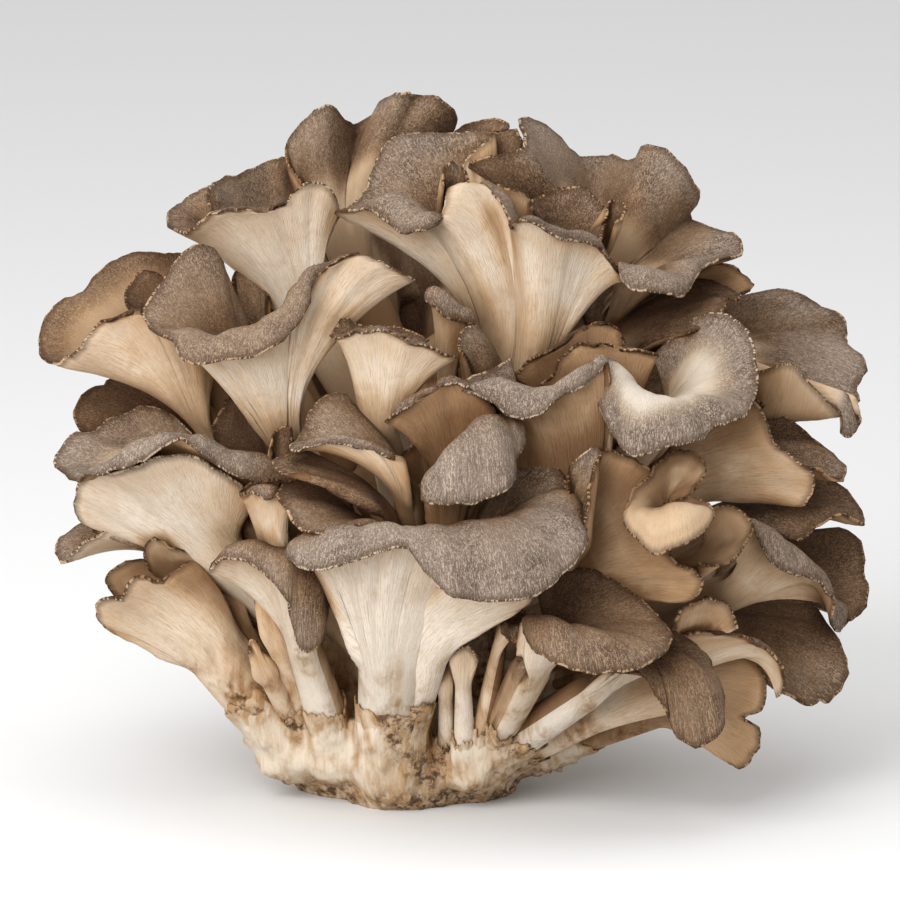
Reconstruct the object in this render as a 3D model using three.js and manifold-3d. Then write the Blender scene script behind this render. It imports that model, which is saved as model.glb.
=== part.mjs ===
// Maitake mushroom: one whole wild-shaped head of fronds on its cut base.
// Units are millimetres. The head is laid out upright in its own frame (x across, -y to the front,
// z up) and then leans back on its cut base, which is the flat face that it rests on.
import * as THREE from 'three';
import { MarchingCubes } from 'three/addons/objects/MarchingCubes.js';
import { mergeVertices } from 'three/addons/utils/BufferGeometryUtils.js';
import Module from 'manifold-3d';

const wasm = await Module();
wasm.setup();
const { Manifold, Mesh } = wasm;

// ---- driving dimensions ----
const HEAD_WIDTH = 165; // across the widest fronds; the sizes below are drawn for this width
const LEAN = THREE.MathUtils.degToRad(12); // how far the head leans back from its cut face
const CUT_CENTRE = [-10, 0, 6]; // middle of the cut face in the upright frame
const GAP = 0.3; // clearance between a frond and whatever it grows against
const CLEARANCE = GAP + 0.2; // what is taken away round each solid, with room for the facets
const SHEET_AT_NECK = 1.15; // half the thickness of the sheet where it leaves the stem
const SHEET_AT_RIM = 0.8; // half the thickness of the sheet at its margin
const STEM_ROWS = 1; // rings of facets along a stem
const FAN_ROWS = 4; // rows of facets from the neck to the margin
const COLUMN_PITCH = 11; // about how wide a facet is along the margin
const MOST_COLUMNS = 10;
const STEM_PULL = 0.38; // share of the frond's length over which it still follows its stem
const RIM_PULL = 0.58; // how close to the margin a plain frond bends
const FOLD_PULL = 0.8; // how close to the margin a frond with a fold bends
const FULL_FOLD = 1.5; // how high a fold has to be before the sheet stands up under all of it

const CLAY = { cream: '#d9c4a0', shade: '#c9b38e', brown: '#77644f', tan: '#93805f' };

// ---- the fronds ----
// A branch is one stalk with the fronds that fork from it. A blade is one frond: the foot of its
// stem, the neck where the stem opens, [half width at the foot, half width at the neck, half
// thickness at the neck], how pale its upper side is (0 dark, 1 cream) and its margin. The margin
// runs clockwise seen from the frond's upper side. Its points are [x, y, z, fold]: the sheet folds
// over that high above the margin, or dips that far below it where the fold is less than zero.
const blade = (foot, neck, widths, pale, rim) => ({ foot, neck, widths, pale, rim });
const branch = (name, blades) => ({ name, blades });

const FRONT_BRANCHES = [
branch("crown_left_funnel", [
  blade([-12, -4, 72], [-28, -15, 98], [5, 5, 3], 0.1, [
    [-21.9, -18, 118, 0.2], [-22.2, -18, 120.5, 0.3], [-23.3, -19, 122.7, 0.3], [-25, -20, 124.3, 0.3],
    [-27.3, -21, 125, 0.3], [-29.5, -22, 124.5, 0.4], [-31.2, -22, 122.6, 0.5], [-32.6, -23, 120.6, 0.6],
    [-35, -24, 120, 0.7], [-38, -25, 119.8, 0.8], [-42, -26, 119.6, 0.8], [-45, -26, 119.2, 0.8],
    [-47.3, -25, 118.6, 0.8], [-48.5, -24, 117.2, 0.8], [-50.5, -22, 116, 0.8], [-52.5, -20, 115.3, 0.7],
    [-54.3, -17, 115.2, 0.5], [-55.8, -13, 116.8, 0], [-56, -9, 118.8, 0], [-54.5, -5, 120.7, 0],
    [-51.5, -2, 122.8, 0], [-47.5, 0, 124.6, 0], [-44, 1, 125.5, 0]]),
  blade([-12, -4, 72], [-32, -8, 103], [4, 4, 2.5], 0.1, [
    [-47.5, -19, 119.6, 0], [-48.5, -18, 121.5, 0], [-47.8, -16, 124, 0], [-45.5, -10, 125.8, 0],
    [-42, -4, 126.8, 0], [-38, 2, 129, 0], [-35, 5, 130.2, 0], [-33, 6, 130.5, 0], [-31, 6, 128, 0],
    [-29, 4, 124, 0]]),
]),
branch("crown_tall_frond", [
  blade([-6, 2, 78], [-19, 1, 108], [4, 4.5, 3], 0.5, [
    [-29, -2, 124.8, 0], [-31, -1, 127.3, 0], [-32.7, 0, 130, 0], [-32.5, 1, 133.5, 0],
    [-30.5, 1, 136.2, 0], [-28.3, 0, 138, 0], [-27, -2, 139.8, 0], [-24.5, -3, 140.6, 0],
    [-22.3, -1, 139.9, 0], [-21, 3, 138, 0], [-19.8, 7, 137.2, 0], [-17, 8, 138.6, 0],
    [-14.2, 6, 140.2, 0], [-13, 2, 142, 0], [-10.8, -1, 143.1, 0], [-8.5, -2, 143.2, 0],
    [-6.8, 0, 142.5, 0], [-4, -1, 142.8, 0], [-1, 0, 141.6, 0], [0.6, 2, 139.8, 0], [1.1, 4, 138, 0],
    [0.3, 6, 135.5, 0]]),
]),
branch("crown_centre_funnel", [
  blade([2, -8, 64], [10, -20, 84], [7, 8, 4.5], 0.3, [
    [34.5, -29, 104.8, 0.8], [33.3, -30, 107, 1], [31, -31, 110, 1.2], [28, -34, 112.2, 1.2],
    [25, -36, 113, 1.2], [21, -39, 113.8, 1.2], [18, -40, 115.6, 1], [15.8, -41, 116.8, 1],
    [14, -40, 116.6, 0.8], [12.6, -39, 115.2, 0.6], [11.8, -37, 116, 0.6], [11.2, -34, 118.5, 0.8],
    [10, -31, 121, 0.9], [8, -29, 123.3, 0.9], [5.2, -28, 124.2, 0.9], [2, -29, 123.4, 0.9],
    [0, -31, 121.6, 0.9], [-1.5, -34, 119, 0.9], [-2.6, -36, 116.6, 1], [-5, -37, 115.2, 1.5],
    [-8.5, -36, 114.4, 2.2], [-11, -34, 115.6, 3], [-13.5, -31, 118.2, 2.5], [-16, -29, 119.5, 1.5],
    [-19.5, -26, 119.3, 0.8], [-22.5, -23, 119.3, 0], [-20.5, -20, 120.3, 0], [-18.5, -17, 121.3, 0],
    [-16.8, -14, 124, 0], [-15.2, -12, 127.5, 0], [-14.3, -11, 130, 0], [-12.8, -10, 132.8, 0],
    [-10.3, -9, 134.2, 0], [-6, -8, 134.9, 0], [0, -8, 135.1, 0], [5, -8, 135.3, 0], [8.8, -9, 135.1, 0],
    [6.5, -12, 132.6, 0], [3.6, -15, 130, 0], [2, -18, 127, 0]]),
]),
branch("crown_inner_fronds", [
  blade([6, -10, 82], [11, -22, 104], [3, 3, 2], 0.5, [
    [16.3, -27, 119.6, 0.4], [15.4, -26, 121.5, 0.4], [13, -26, 123, 0.4], [10.5, -26, 123.8, 0.4],
    [8, -27, 124.2, 0.3], [6, -28, 123, 0]]),
  blade([6, -10, 82], [20, -17, 104], [3, 4, 2.5], 0.2, [
    [15.5, -24, 120.3, 0], [17.5, -22, 122, 0], [21, -20, 123.4, 0], [25, -19, 124.1, 0],
    [27.5, -19, 123, 0], [29.3, -20, 121, 0], [30.6, -21, 119.2, 0], [30.5, -23, 117, 0],
    [30, -26, 115, 0], [29, -28, 113, 0]]),
  blade([6, -10, 82], [1.5, -22, 110], [3, 2.5, 2], 0.4, [
    [-1, -30, 124.3, 0], [-1.4, -30, 126.5, 0], [-0.5, -29, 128, 0], [0.8, -28, 128.4, 0],
    [2, -28, 127.3, 0], [3, -29, 125.5, 0], [3.5, -30, 124, 0]]),
  blade([6, -10, 82], [26, -18, 108], [3, 2.5, 2], 0.7, [
    [30.6, -24, 117.5, 0], [31.2, -23, 120.8, 0], [33, -22, 121.1, 0], [34.4, -23, 119.8, 0],
    [34, -24, 118, 0], [32.5, -25, 117.2, 0]]),
]),
branch("crown_right_sheet", [
  blade([8, -2, 78], [24, -8, 98], [6, 7, 4], 0.45, [
    [4.2, -14, 124.5, 0], [3.8, -16, 127.5, 0], [5, -17, 129.2, 0], [8, -17, 130.1, 0],
    [12, -17, 130.8, 0], [14.3, -16, 132, 0], [14.9, -13, 134.5, 0], [13.5, -9, 136.8, 0],
    [14.2, -6, 138, 0], [16.5, -4, 138.2, 0], [19.5, 0, 136.7, 0], [22.3, 5, 134, 0], [25, 9, 131.9, 0],
    [28, 12, 131.1, 0], [31, 12, 131.3, 0], [33.5, 10, 130.9, 0], [35.2, 6, 129.9, 0], [37, 1, 131.3, 0],
    [40, -3, 132.4, 0], [43, -4, 131.8, 0], [45.5, -4, 129.5, 0], [48.2, -3, 126.3, 0],
    [49.7, -1, 123.5, 0], [49, 2, 121, 0], [47.8, 3, 119, 0], [51, -2, 116.8, 0], [55, -7, 115.2, 0],
    [57.6, -11, 113.8, 0], [57.6, -14, 112, 0], [55.5, -17, 110, 0.5], [52.5, -20, 109, 0.8],
    [50, -23, 108, 1.2], [48.7, -26, 106.5, 1.8], [47.5, -29, 104, 2.5], [45.5, -32, 102.4, 3.5],
    [42.5, -34, 102.8, 4], [39, -35, 103.2, 4], [36, -35, 103.6, 4], [34, -34, 105.2, 3],
    [33.2, -33, 107, 2]]),
]),
branch("crown_curl", [
  blade([4, -4, 96], [5, -5, 120], [3, 3, 2.2], 0.1, [
    [0.5, -4, 129.5, 0], [3, -4, 133, 0], [7, -4, 135, 0], [10, -5, 135.4, 0], [12.4, -6, 135.8, 0],
    [13.6, -8, 134.4, 0], [14, -9, 132, 0], [11, -10, 130, 0]]),
  blade([4, -4, 96], [4, 0, 120], [3, 3, 2.2], 0.2, [
    [0, 2, 134.5, 0], [2, 2, 136.4, 0], [5, 3, 137.6, 0], [8.8, 3, 138.4, 0], [11.3, 1, 137.3, 0],
    [10.5, -1, 135.8, 0], [8, -2, 135, 0]]),
]),
branch("right_shoulder_fronds", [
  blade([20, -3, 76], [42, -8, 98], [4, 4, 2.5], 0.3, [
    [57.5, -10, 103.6, 0], [59.3, -10, 103.7, 0], [60.1, -10, 104.8, 0.3], [59, -9, 106.3, 0.4],
    [56.8, -8, 107.9, 0.4], [54.3, -8, 109.2, 0.4], [51.5, -9, 109.4, 0], [48, -12, 108.5, 0]]),
  blade([20, -6, 74], [34, -14, 92], [4, 5, 3], 0.1, [
    [36, -8, 108, 0], [42, -8, 108.5, 0], [48, -10, 106.5, 0], [52, -12, 105.2, 0], [55.5, -14, 103.9, 0],
    [57.8, -16, 102.5, 0], [56.3, -18, 101.8, 0.3], [54.5, -20, 102.2, 0.3], [54.2, -22, 100.8, 0.3],
    [53.5, -24, 98.8, 0.3], [51, -26, 97, 0], [47, -27, 95, 0]]),
]),
branch("right_inner_frond", [
  blade([16, -6, 60], [30, -12, 82], [4, 5, 3], 0.2, [
    [24, -14, 104, 0], [30, -12, 108, 0], [36, -11, 108, 0], [42, -12, 104, 0], [47, -14, 98, 0],
    [50, -17, 91, 0], [49, -20, 84, 0], [45, -23, 80, 0]]),
]),
branch("right_fan", [
  blade([28, -2, 64], [50, -4, 86], [6, 6, 3.5], 0.35, [
    [53, 2, 100, 0], [57, 3, 102.3, 0], [62, 2, 103.7, 0], [67, 0, 103.9, 0], [71, -1, 102.6, 0],
    [74, -1, 100.6, 0], [77, -1, 99.6, 0], [78.8, 0, 98, 0], [79, 1, 95.5, 0], [78.7, 1, 93.8, 0],
    [80.3, -2, 92.4, 0], [82.2, -4, 91.4, 0], [82.7, -5, 89.5, 0], [82.3, -6, 87.2, 0],
    [81.3, -8, 85.5, 0], [81, -9, 84, 0], [81.5, -10, 82.3, 0], [80.5, -12, 80.4, 0],
    [78.5, -14, 79.6, -0.6], [76, -16, 80.5, -1.8], [73, -18, 83.2, -5], [70, -19, 86.5, -8],
    [67.8, -20, 89, -10], [65, -20, 88.6, -9.4], [62, -19, 87.6, -8], [59, -18, 87, -6.5]]),
  blade([56, -8, 88], [77, -14, 82], [3, 2, 1.4], 0.3, [
    [80.4, -15, 79.4, 0], [81, -15, 77.3, 0], [80.2, -15, 75.4, 0], [78.7, -15, 74.7, 0],
    [77.5, -15, 75.6, 0]]),
]),
branch("right_spoon", [
  blade([18, -12, 52], [38, -28, 74], [6, 7, 4], 0.64, [
    [40, -24, 90.5, 0], [43, -24, 93.2, 0], [46, -24, 96, 0], [49, -25, 98.1, 0], [53, -27, 98.8, 0],
    [56, -29, 97.6, 0], [58.5, -31, 95.2, 0], [59.9, -33, 92, 0], [60.2, -36, 88, 0], [60, -38, 84.5, 0.5],
    [58.8, -40, 80.5, 1.5], [57.2, -42, 78.2, 2.5], [54, -45, 77.2, 4], [51.7, -46, 76.6, 5],
    [50.8, -47, 75.2, 5.5], [48.5, -49, 74, 6], [45, -50, 73, 7], [41, -51, 72.2, 8],
    [37.5, -51, 70.9, 9.5], [35, -51, 71.2, 10], [33, -50, 73.3, 10], [31.3, -49, 75.8, 9.5],
    [29.8, -48, 79, 8], [28.5, -47, 82.5, 6], [28.4, -46, 85.5, 3.5], [29.8, -44, 88.5, 1]]),
]),
branch("centre_long_lip", [
  blade([8, -14, 40], [20, -34, 60], [7, 8, 4.5], 0.5, [
    [30.8, -50, 88.9, 0.3], [28.5, -51, 86.8, 2.1], [26.5, -52, 84.8, 3], [24, -53, 83.5, 2.7],
    [22, -53, 82.8, 2.2], [20, -54, 81, 2.9], [18, -54, 79.2, 4.1], [15, -55, 78.4, 4.8],
    [12, -55, 78.7, 5.1], [10.5, -55, 79.8, 4.5], [8, -54, 81.5, 3.5], [5, -52, 83.2, 2.2],
    [2, -50, 84.3, 0.6], [5, -44, 86.5, 0], [9, -40, 88, 0], [12, -38, 90, 0]]),
]),
branch("centre_tongue", [
  blade([2, -12, 62], [0, -26, 82], [4, 4, 2.5], 0.1, [
    [5, -34, 96.6, 1.5], [3, -36, 97.2, 2.5], [0, -37, 97.8, 3.4], [-2, -38, 99, 3],
    [-3.6, -38, 100.5, 2.2], [-4.7, -36, 102, 1], [-3.8, -32, 103.2, 0], [-1.5, -30, 102.8, 0],
    [1.5, -28, 101, 0], [4, -27, 98.7, 0]]),
  blade([2, -12, 62], [8, -31, 80], [4, 4, 2.5], 0.6, [
    [2.8, -42, 90.6, 0], [1.6, -42, 92.3, 0], [1.4, -41, 94, 0], [2.6, -40, 95.5, 0], [4.8, -39, 96.2, 0],
    [6.3, -37, 95.6, 0], [7.8, -35, 93.3, 0], [8.7, -33, 90.5, 0], [9.8, -31, 87.5, 0]]),
]),
branch("right_centre_rims", [
  blade([14, -10, 56], [23, -24, 76], [5, 6, 3.5], 0.5, [
    [34.6, -30, 92.8, 0.6], [33.6, -29, 95, 0.7], [31, -29, 96.8, 0.7], [28, -30, 97, 0.7],
    [24.5, -32, 95.3, 0.7], [20, -35, 91.9, 0.7], [15, -37, 88.7, 0.7], [11, -38, 86.3, 0.4]]),
  blade([14, -10, 56], [27, -30, 72], [5, 6, 3.5], 0.5, [
    [41.2, -38, 90.3, 0.5], [38, -39, 90.9, 0.7], [34, -39, 91.8, 0.7], [31, -40, 92.7, 0.7],
    [28, -41, 92.8, 0.7], [25, -41, 92, 0.7], [22, -42, 89.4, 0.7], [19.5, -42, 86.5, 0.7],
    [17, -42, 84.3, 0.4]]),
]),
branch("centre_wing", [
  blade([3, -16, 46], [2, -40, 66], [4, 5, 3], 0.3, [
    [9, -50, 79.5, 0], [6.5, -51, 82, 0.5], [3.5, -51, 84, 0.8], [1, -51, 85, 1.1], [-1.5, -51, 84.6, 1.2],
    [-4, -52, 83.2, 1.2], [-7, -53, 81.2, 1.3], [-10, -53, 79.2, 1.2], [-12.8, -52, 77.4, 0.3]]),
  blade([3, -16, 46], [-2, -34, 61], [3, 3, 2.2], 0.2, [
    [1, -41, 70.5, 0], [-1, -41, 72, 0], [-3.5, -42, 72.9, 0], [-5.3, -43, 74.6, 0], [-6.3, -43, 74.9, 0],
    [-7.8, -43, 72.9, 0], [-9.8, -43, 70.2, 0]]),
]),
branch("centre_small_cap", [
  blade([-2, -20, 38], [-0.5, -44, 56], [4, 3.4, 3.4], 0.4, [
    [12, -47, 78, 0], [14, -49, 76.5, 1], [14.4, -51, 73.6, 3.5], [12.7, -53, 70.8, 7],
    [12.3, -55, 68, 10], [11, -58, 65, 12.5], [8, -60, 62.8, 14], [4, -61, 61.6, 12.6],
    [0, -61, 61.3, 9.7], [-3.2, -59, 61.7, 6.2], [-5.2, -56, 62.6, 3.2], [-5.4, -53, 65.3, 0.5],
    [-3, -48, 67, 0], [1, -45, 70, 0], [6, -44, 74, 0]]),
]),
branch("centre_small_funnel", [
  blade([-6, -14, 50], [-13, -40, 76], [5, 4, 3.5], 0.1, [
    [1.8, -48, 90, 0.3], [-0.5, -50, 90.6, 0.7], [-3.5, -52, 91.8, 0.8], [-7, -53, 93.3, 0.8],
    [-10.5, -53, 94.9, 0.8], [-14, -53, 95.5, 0.8], [-17.5, -52, 95, 0.8], [-20.5, -50, 94.6, 0.8],
    [-23, -48, 94.6, 0.5], [-22.3, -45, 96.6, 0], [-20.3, -43, 97.6, 0], [-18, -42, 96.3, 0],
    [-10, -41, 95.8, 0], [-4, -41, 93.5, 0]]),
]),
branch("left_big_funnel", [
  blade([-16, -12, 48], [-31.5, -33, 73], [5, 4, 3.5], 0.15, [
    [-6.6, -40, 105.3, 0.3], [-9, -42, 106.3, 0.8], [-12, -43, 108, 0.7], [-15, -44, 109.4, 0.6],
    [-18, -44, 110, 0.6], [-21, -45, 109.6, 0.6], [-24, -46, 107.8, 0.8], [-26, -47, 105.6, 1.5],
    [-27, -48, 103.3, 2.2], [-27.6, -49, 101, 3], [-29, -50, 97.8, 4.2], [-32, -51, 94, 5],
    [-36, -52, 91.3, 5.5], [-40, -52, 90, 5.2], [-45, -52, 89.3, 5.2], [-49.5, -51, 89, 4.5],
    [-52, -49, 89.8, 3.5], [-53, -48, 91.8, 2.5], [-54, -46, 93.4, 1.5], [-57, -44, 94.3, 0.8],
    [-59, -42, 96.7, 0], [-59.9, -40, 99.3, 0], [-57.5, -37, 103.6, 0], [-54.5, -34, 108.2, 0],
    [-52.3, -32, 111, 0], [-50, -30, 112, 0], [-47.5, -28, 111.6, 0], [-45.3, -27, 109.5, 0],
    [-43.8, -27, 106, 0], [-42, -27, 102, 0], [-40, -27, 98, 0]]),
  blade([-16, -12, 48], [-31.5, -36, 67], [4, 2.5, 2], 0.7, [
    [-34.8, -42, 71, 0], [-34.3, -43, 73.8, 0], [-32.7, -43, 76.2, 0], [-31.2, -43, 76.3, 0],
    [-30.3, -42, 73.8, 0], [-30, -41, 72, 0]]),
]),
branch("left_far_funnel", [
  blade([-26, -8, 52], [-46.5, -21, 76], [5, 4.5, 3.5], 0.68, [
    [-46, -28, 88, 0], [-49.5, -31, 91, 0.3], [-53, -32, 93.5, 0.5], [-57, -33, 96.3, 0.7],
    [-60.5, -33, 98.5, 0.8], [-62.5, -33, 99.4, 0.8], [-65, -33, 98.4, 0.8], [-69, -32, 96, 0.8],
    [-71.5, -31, 94.2, 0.6], [-73, -30, 92.6, 0.3], [-74.5, -28, 91.2, 0], [-76.5, -26, 89.4, 0],
    [-78.5, -23, 88.8, 0], [-80.5, -20, 90.2, 0], [-81.7, -17, 93, 0], [-81.2, -15, 96, 0],
    [-79.5, -13, 99.2, 0], [-77.5, -12, 101.2, 0.4], [-74.5, -11, 102.8, 0.6], [-72.3, -10, 104.4, 0.5],
    [-70.5, -9, 106.8, 0.3], [-67.5, -7, 109.2, 0], [-64, -5, 110.9, 0], [-59, -4, 111, 0],
    [-54, -5, 111.2, 0], [-51, -7, 110, 0]]),
  blade([-26, -8, 52], [-52, -24, 92], [4, 4, 3], 0, [
    [-60.5, -30, 98.9, 0], [-63, -30, 100.2, 0], [-64.1, -28, 102.5, 0], [-63, -26, 105.2, 0],
    [-61.3, -25, 107, 0], [-59, -25, 107.4, 0], [-56.5, -25, 106, 0], [-55, -25, 103, 0]]),
]),
branch("left_gap_leaf", [
  blade([-20, -6, 66], [-37, -16, 92], [3, 3, 2.2], 0.3, [
    [-42.6, -18, 103, 0], [-43, -17, 105.5, 0], [-42.2, -15, 108.3, 0], [-40.5, -14, 110.2, 0],
    [-38.8, -15, 109, 0], [-37, -17, 105, 0], [-36, -18, 102, 0]]),
  blade([-20, -6, 66], [-34, -10, 90], [3, 4, 2.5], 0.2, [
    [-39, -12, 104, 0], [-37, -10, 108, 0], [-33, -9, 110, 0], [-29, -9, 108, 0], [-27, -10, 104, 0]]),
]),
branch("left_dark_fronds", [
  blade([-24, -4, 52], [-46, -8, 73], [4, 5, 3], 0.2, [
    [-71, -14, 75.3, 0], [-73.3, -14, 75.8, 0], [-74.6, -12, 78.8, 0], [-73.8, -10, 81.8, 0],
    [-71.3, -8, 84.2, 0], [-69.3, -8, 84.7, 0], [-67.5, -7, 86.3, 0], [-64.5, -7, 86.8, 0],
    [-61, -6, 86.3, 0], [-56, -8, 85.2, 0], [-50, -10, 84, 0]]),
  blade([-24, -8, 50], [-37, -22, 66], [3, 4, 2.5], 0, [
    [-43, -30, 70.5, 0], [-45.8, -30, 72.3, 0], [-46.4, -30, 75.3, 0], [-45.5, -29, 78.2, 0],
    [-43.5, -28, 81.5, 0], [-41, -26, 84, 0], [-38, -24, 85, 0]]),
]),
branch("left_wave_frond", [
  blade([-24, -12, 42], [-42, -26, 58], [5, 6, 3.5], 0.6, [
    [-30, -40, 66.5, 2.5], [-32.5, -41, 65.4, 4], [-36, -43, 65.2, 5.3], [-40, -45, 66.5, 4.4],
    [-43, -46, 67.9, 3.5], [-46, -46, 69.5, 3], [-49, -47, 71.6, 2.3], [-51, -47, 73.7, 1],
    [-53, -47, 74.1, 1.2], [-56.5, -47, 72.5, 2.8], [-59.5, -46, 70.3, 4.7], [-62, -46, 69, 4.8],
    [-66, -44, 67.8, 4], [-70, -41, 67.2, 2.5], [-72, -39, 66.3, 1.5], [-73.3, -37, 65.7, 1],
    [-75.6, -34, 66.4, 0.5], [-77.2, -31, 68.2, 0], [-77.6, -29, 70.3, 0], [-76.6, -27, 72.6, 0],
    [-74.5, -25, 74.8, 0], [-71, -23, 75.2, 0], [-69.3, -22, 76.6, 0], [-67, -21, 78.5, 0],
    [-63, -20, 80, 0], [-60, -19, 80.4, 0], [-57, -20, 79.8, 0], [-54, -21, 78, 0], [-51, -23, 75.3, 0]]),
]),
branch("left_pale_fan", [
  blade([-24, -14, 34], [-44, -27, 50], [6, 6, 4], 0.3, [
    [-37, -38, 62, 0], [-43, -41, 66.5, 0], [-50, -43, 70.5, 0], [-56, -43, 71, 0], [-62, -42, 69, 0],
    [-67, -40, 67.6, 0], [-70.5, -38, 67.4, 0], [-72.3, -36, 65.8, 0], [-73.6, -34, 63, 0],
    [-73.7, -33, 60, 0], [-72.6, -32, 57.8, 0], [-70.3, -31, 56.4, 0], [-69, -31, 56.1, 0]]),
  blade([-24, -14, 34], [-54, -22, 52], [5, 3.5, 3], 0.1, [
    [-60, -30, 57.3, 0], [-65, -31, 57.2, 0], [-68.5, -31, 56.2, 0.3], [-71, -31, 54.5, 0.6],
    [-73, -30, 52.3, 1], [-74.3, -29, 50.6, 1.2], [-76, -27, 50.2, 0.8], [-77.6, -24, 51.6, 0],
    [-77.2, -21, 53.8, 0], [-75.3, -19, 56, 0], [-72.5, -18, 57.8, 0], [-69, -18, 59, 0],
    [-64, -18, 59.5, 0]]),
]),
branch("left_low_funnel", [
  blade([-30, -14, 14], [-45, -24, 31], [7, 6.5, 5], 0.9, [
    [-50.8, -29, 51.6, 0.2], [-51.5, -31, 50.2, 0.3], [-53, -33, 48.8, 0.4], [-55, -35, 47.5, 0.4],
    [-57.2, -37, 46.5, 0.4], [-59.5, -38, 47, 0.4], [-61.5, -38, 46.8, 0.4], [-63.6, -37, 45, 0.4],
    [-65.3, -36, 43.3, 0.4], [-67.8, -34, 42.7, 0.3], [-69.4, -31, 41.2, 0], [-69.7, -29, 39.2, 0],
    [-68.6, -28, 37.2, 0], [-66, -27, 35.9, 0], [-62, -26, 35.4, 0]]),
  blade([-30, -12, 18], [-51, -22, 40], [5, 4, 3], 1, [
    [-64, -28, 42.5, 0], [-66.6, -28, 44, 0], [-67.5, -27, 46.5, 0], [-66.3, -26, 48.9, 0],
    [-63.5, -25, 50, 0], [-60, -24, 50.2, 0], [-57, -24, 49, 0]]),
  blade([-30, -12, 18], [-49, -25, 43], [5, 3.5, 3], 1, [
    [-59.4, -32, 48.5, 0], [-60, -33, 51, 0], [-59.6, -34, 53.5, 0], [-58.2, -34.5, 55.1, 0],
    [-56.6, -34.5, 54.4, 0], [-55.2, -34, 52.8, 0], [-53.5, -33, 51.9, 0], [-51.5, -31.5, 52.2, 0],
    [-50, -30, 51.4, 0]]),
]),
branch("left_drooping_cap", [
  blade([-22, -20, 12], [-28.5, -34, 33], [4.5, 3.8, 3.4], 0.1, [
    [-22.5, -38, 48, 2], [-23.8, -43, 41, 7], [-25.3, -47, 35.3, 13], [-27, -49, 33, 16],
    [-28.7, -50, 32.9, 17], [-30, -50, 35, 15.5], [-30.9, -50, 38.5, 12.5], [-31.5, -50, 42, 9.5],
    [-33.5, -50, 45, 7.2], [-36, -49, 47.6, 5.2], [-38.5, -48, 49.6, 3.5], [-41, -47, 50.6, 2.8],
    [-44, -45, 50.6, 2], [-46, -43, 49.5, 1], [-46.8, -40, 49, 0], [-45.5, -36, 50.8, 0],
    [-42, -33, 52, 0], [-36, -31, 52.5, 0], [-30, -31, 52, 0]]),
]),
branch("left_low_stems", [
  blade([-28, -16, 14], [-33, -31, 31], [4, 2.2, 2], 0.5, [
    [-35.5, -34, 41, 0], [-36.8, -35, 44, 0], [-37.8, -35, 45, 0], [-38.2, -35, 43, 0],
    [-37.6, -34, 40, 0]]),
  blade([-28, -16, 14], [-40, -22, 34], [3, 2.5, 2], 0.5, [
    [-42, -24, 46, 0], [-44, -25, 48.5, 0], [-46.5, -25, 50, 0], [-49, -25, 50, 0], [-49.5, -24, 47, 0]]),
  blade([-28, -16, 14], [-35, -30, 26], [3, 2, 1.8], 0.5, [
    [-36.3, -32, 31.3, 0], [-37.8, -33, 33.7, 0], [-39.2, -33, 34.6, 0], [-39.4, -33, 32.4, 0],
    [-38.6, -32, 30, 0]]),
]),
branch("front_big_cap", [
  blade([-12, -22, 10], [-11, -37, 29], [6.5, 7, 6], 0.3, [
    [6, -41, 61, 0], [11, -41, 66, 0], [14.5, -41, 68.8, 0], [18, -42, 69.7, 0], [20.8, -43, 68.6, 0],
    [22.6, -45, 65.8, 0], [22.6, -46, 64, 0.5], [24.8, -48, 63, 1], [26.3, -51, 60.3, 2.5],
    [26.7, -54, 57, 4], [26, -57, 53.5, 6], [24, -59, 50.3, 8.5], [21.5, -62, 47.6, 10.5],
    [18, -64, 44.8, 12.5], [14, -66, 43.3, 13.5], [9, -67, 43, 13.5], [4, -67, 43.1, 13], [0, -67, 44, 12],
    [-3, -66, 46.5, 9.5], [-6, -65, 50, 6.3], [-8.7, -63, 53.3, 3], [-12, -62, 52.3, 4],
    [-16, -61, 51.2, 5], [-20, -61, 50.1, 6.2], [-24, -60, 48.7, 7.5], [-27.5, -58, 48.7, 7.2],
    [-30, -56, 49.9, 5], [-31.8, -52, 52, 2], [-30.5, -48, 54.3, 0], [-27, -44, 55.8, 0],
    [-20, -41, 55.5, 0], [-12, -40, 55, 0]]),
  blade([-12, -22, 10], [-5.5, -39, 31], [5, 5, 4], 0.3, [
    [13, -54, 40.7, 0], [15, -56, 41.5, 0], [15.5, -58, 43, 0], [14.5, -59, 45, 0], [10, -60, 46.5, 0],
    [5, -58, 48.5, 0], [0, -50, 50, 0]]),
]),
branch("left_centre_triangle", [
  blade([-4, -22, 42], [-8, -46, 62], [4, 3.5, 3], 0, [
    [-9, -54, 70.4, 0.7], [-12, -55, 70.8, 0.8], [-15.5, -55, 71.8, 0.9], [-19, -56, 72.7, 1],
    [-22, -56, 73.3, 1.1], [-25, -56, 73.2, 1.4], [-27.5, -55, 72.5, 1.6], [-29.5, -54, 71.7, 1.4],
    [-31.2, -53, 71.6, 0.5], [-29.5, -48, 74.2, 0], [-28.5, -46, 76.7, 0], [-27.3, -44, 79.3, 0],
    [-25, -42, 81.6, 0], [-22, -40, 82.9, 0], [-20, -40, 81.7, 0], [-17.5, -41, 77.5, 0],
    [-14, -43, 72, 0]]),
  blade([-8, -22, 38], [-12.5, -45, 58], [4, 2.6, 2.6], 0.3, [
    [-26, -53, 66.2, 0], [-29, -54, 66.6, 0], [-32, -54, 67.2, 0], [-34.4, -52, 68.8, 0],
    [-33.4, -50, 70.4, 0], [-30.5, -48, 71.3, 0], [-27.5, -47, 71.7, 0]]),
]),
branch("left_centre_oval", [
  blade([-10, -22, 34], [-15, -42, 53], [4, 4, 3], 0.2, [
    [-13, -56, 56.4, 0.8], [-16, -57, 57, 1], [-18.5, -57, 57.4, 1], [-21, -57, 57, 1],
    [-24, -58, 56.3, 1], [-27.5, -58, 56.5, 1], [-30.2, -57, 57.7, 1], [-32.3, -55, 60.2, 0.6],
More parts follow.
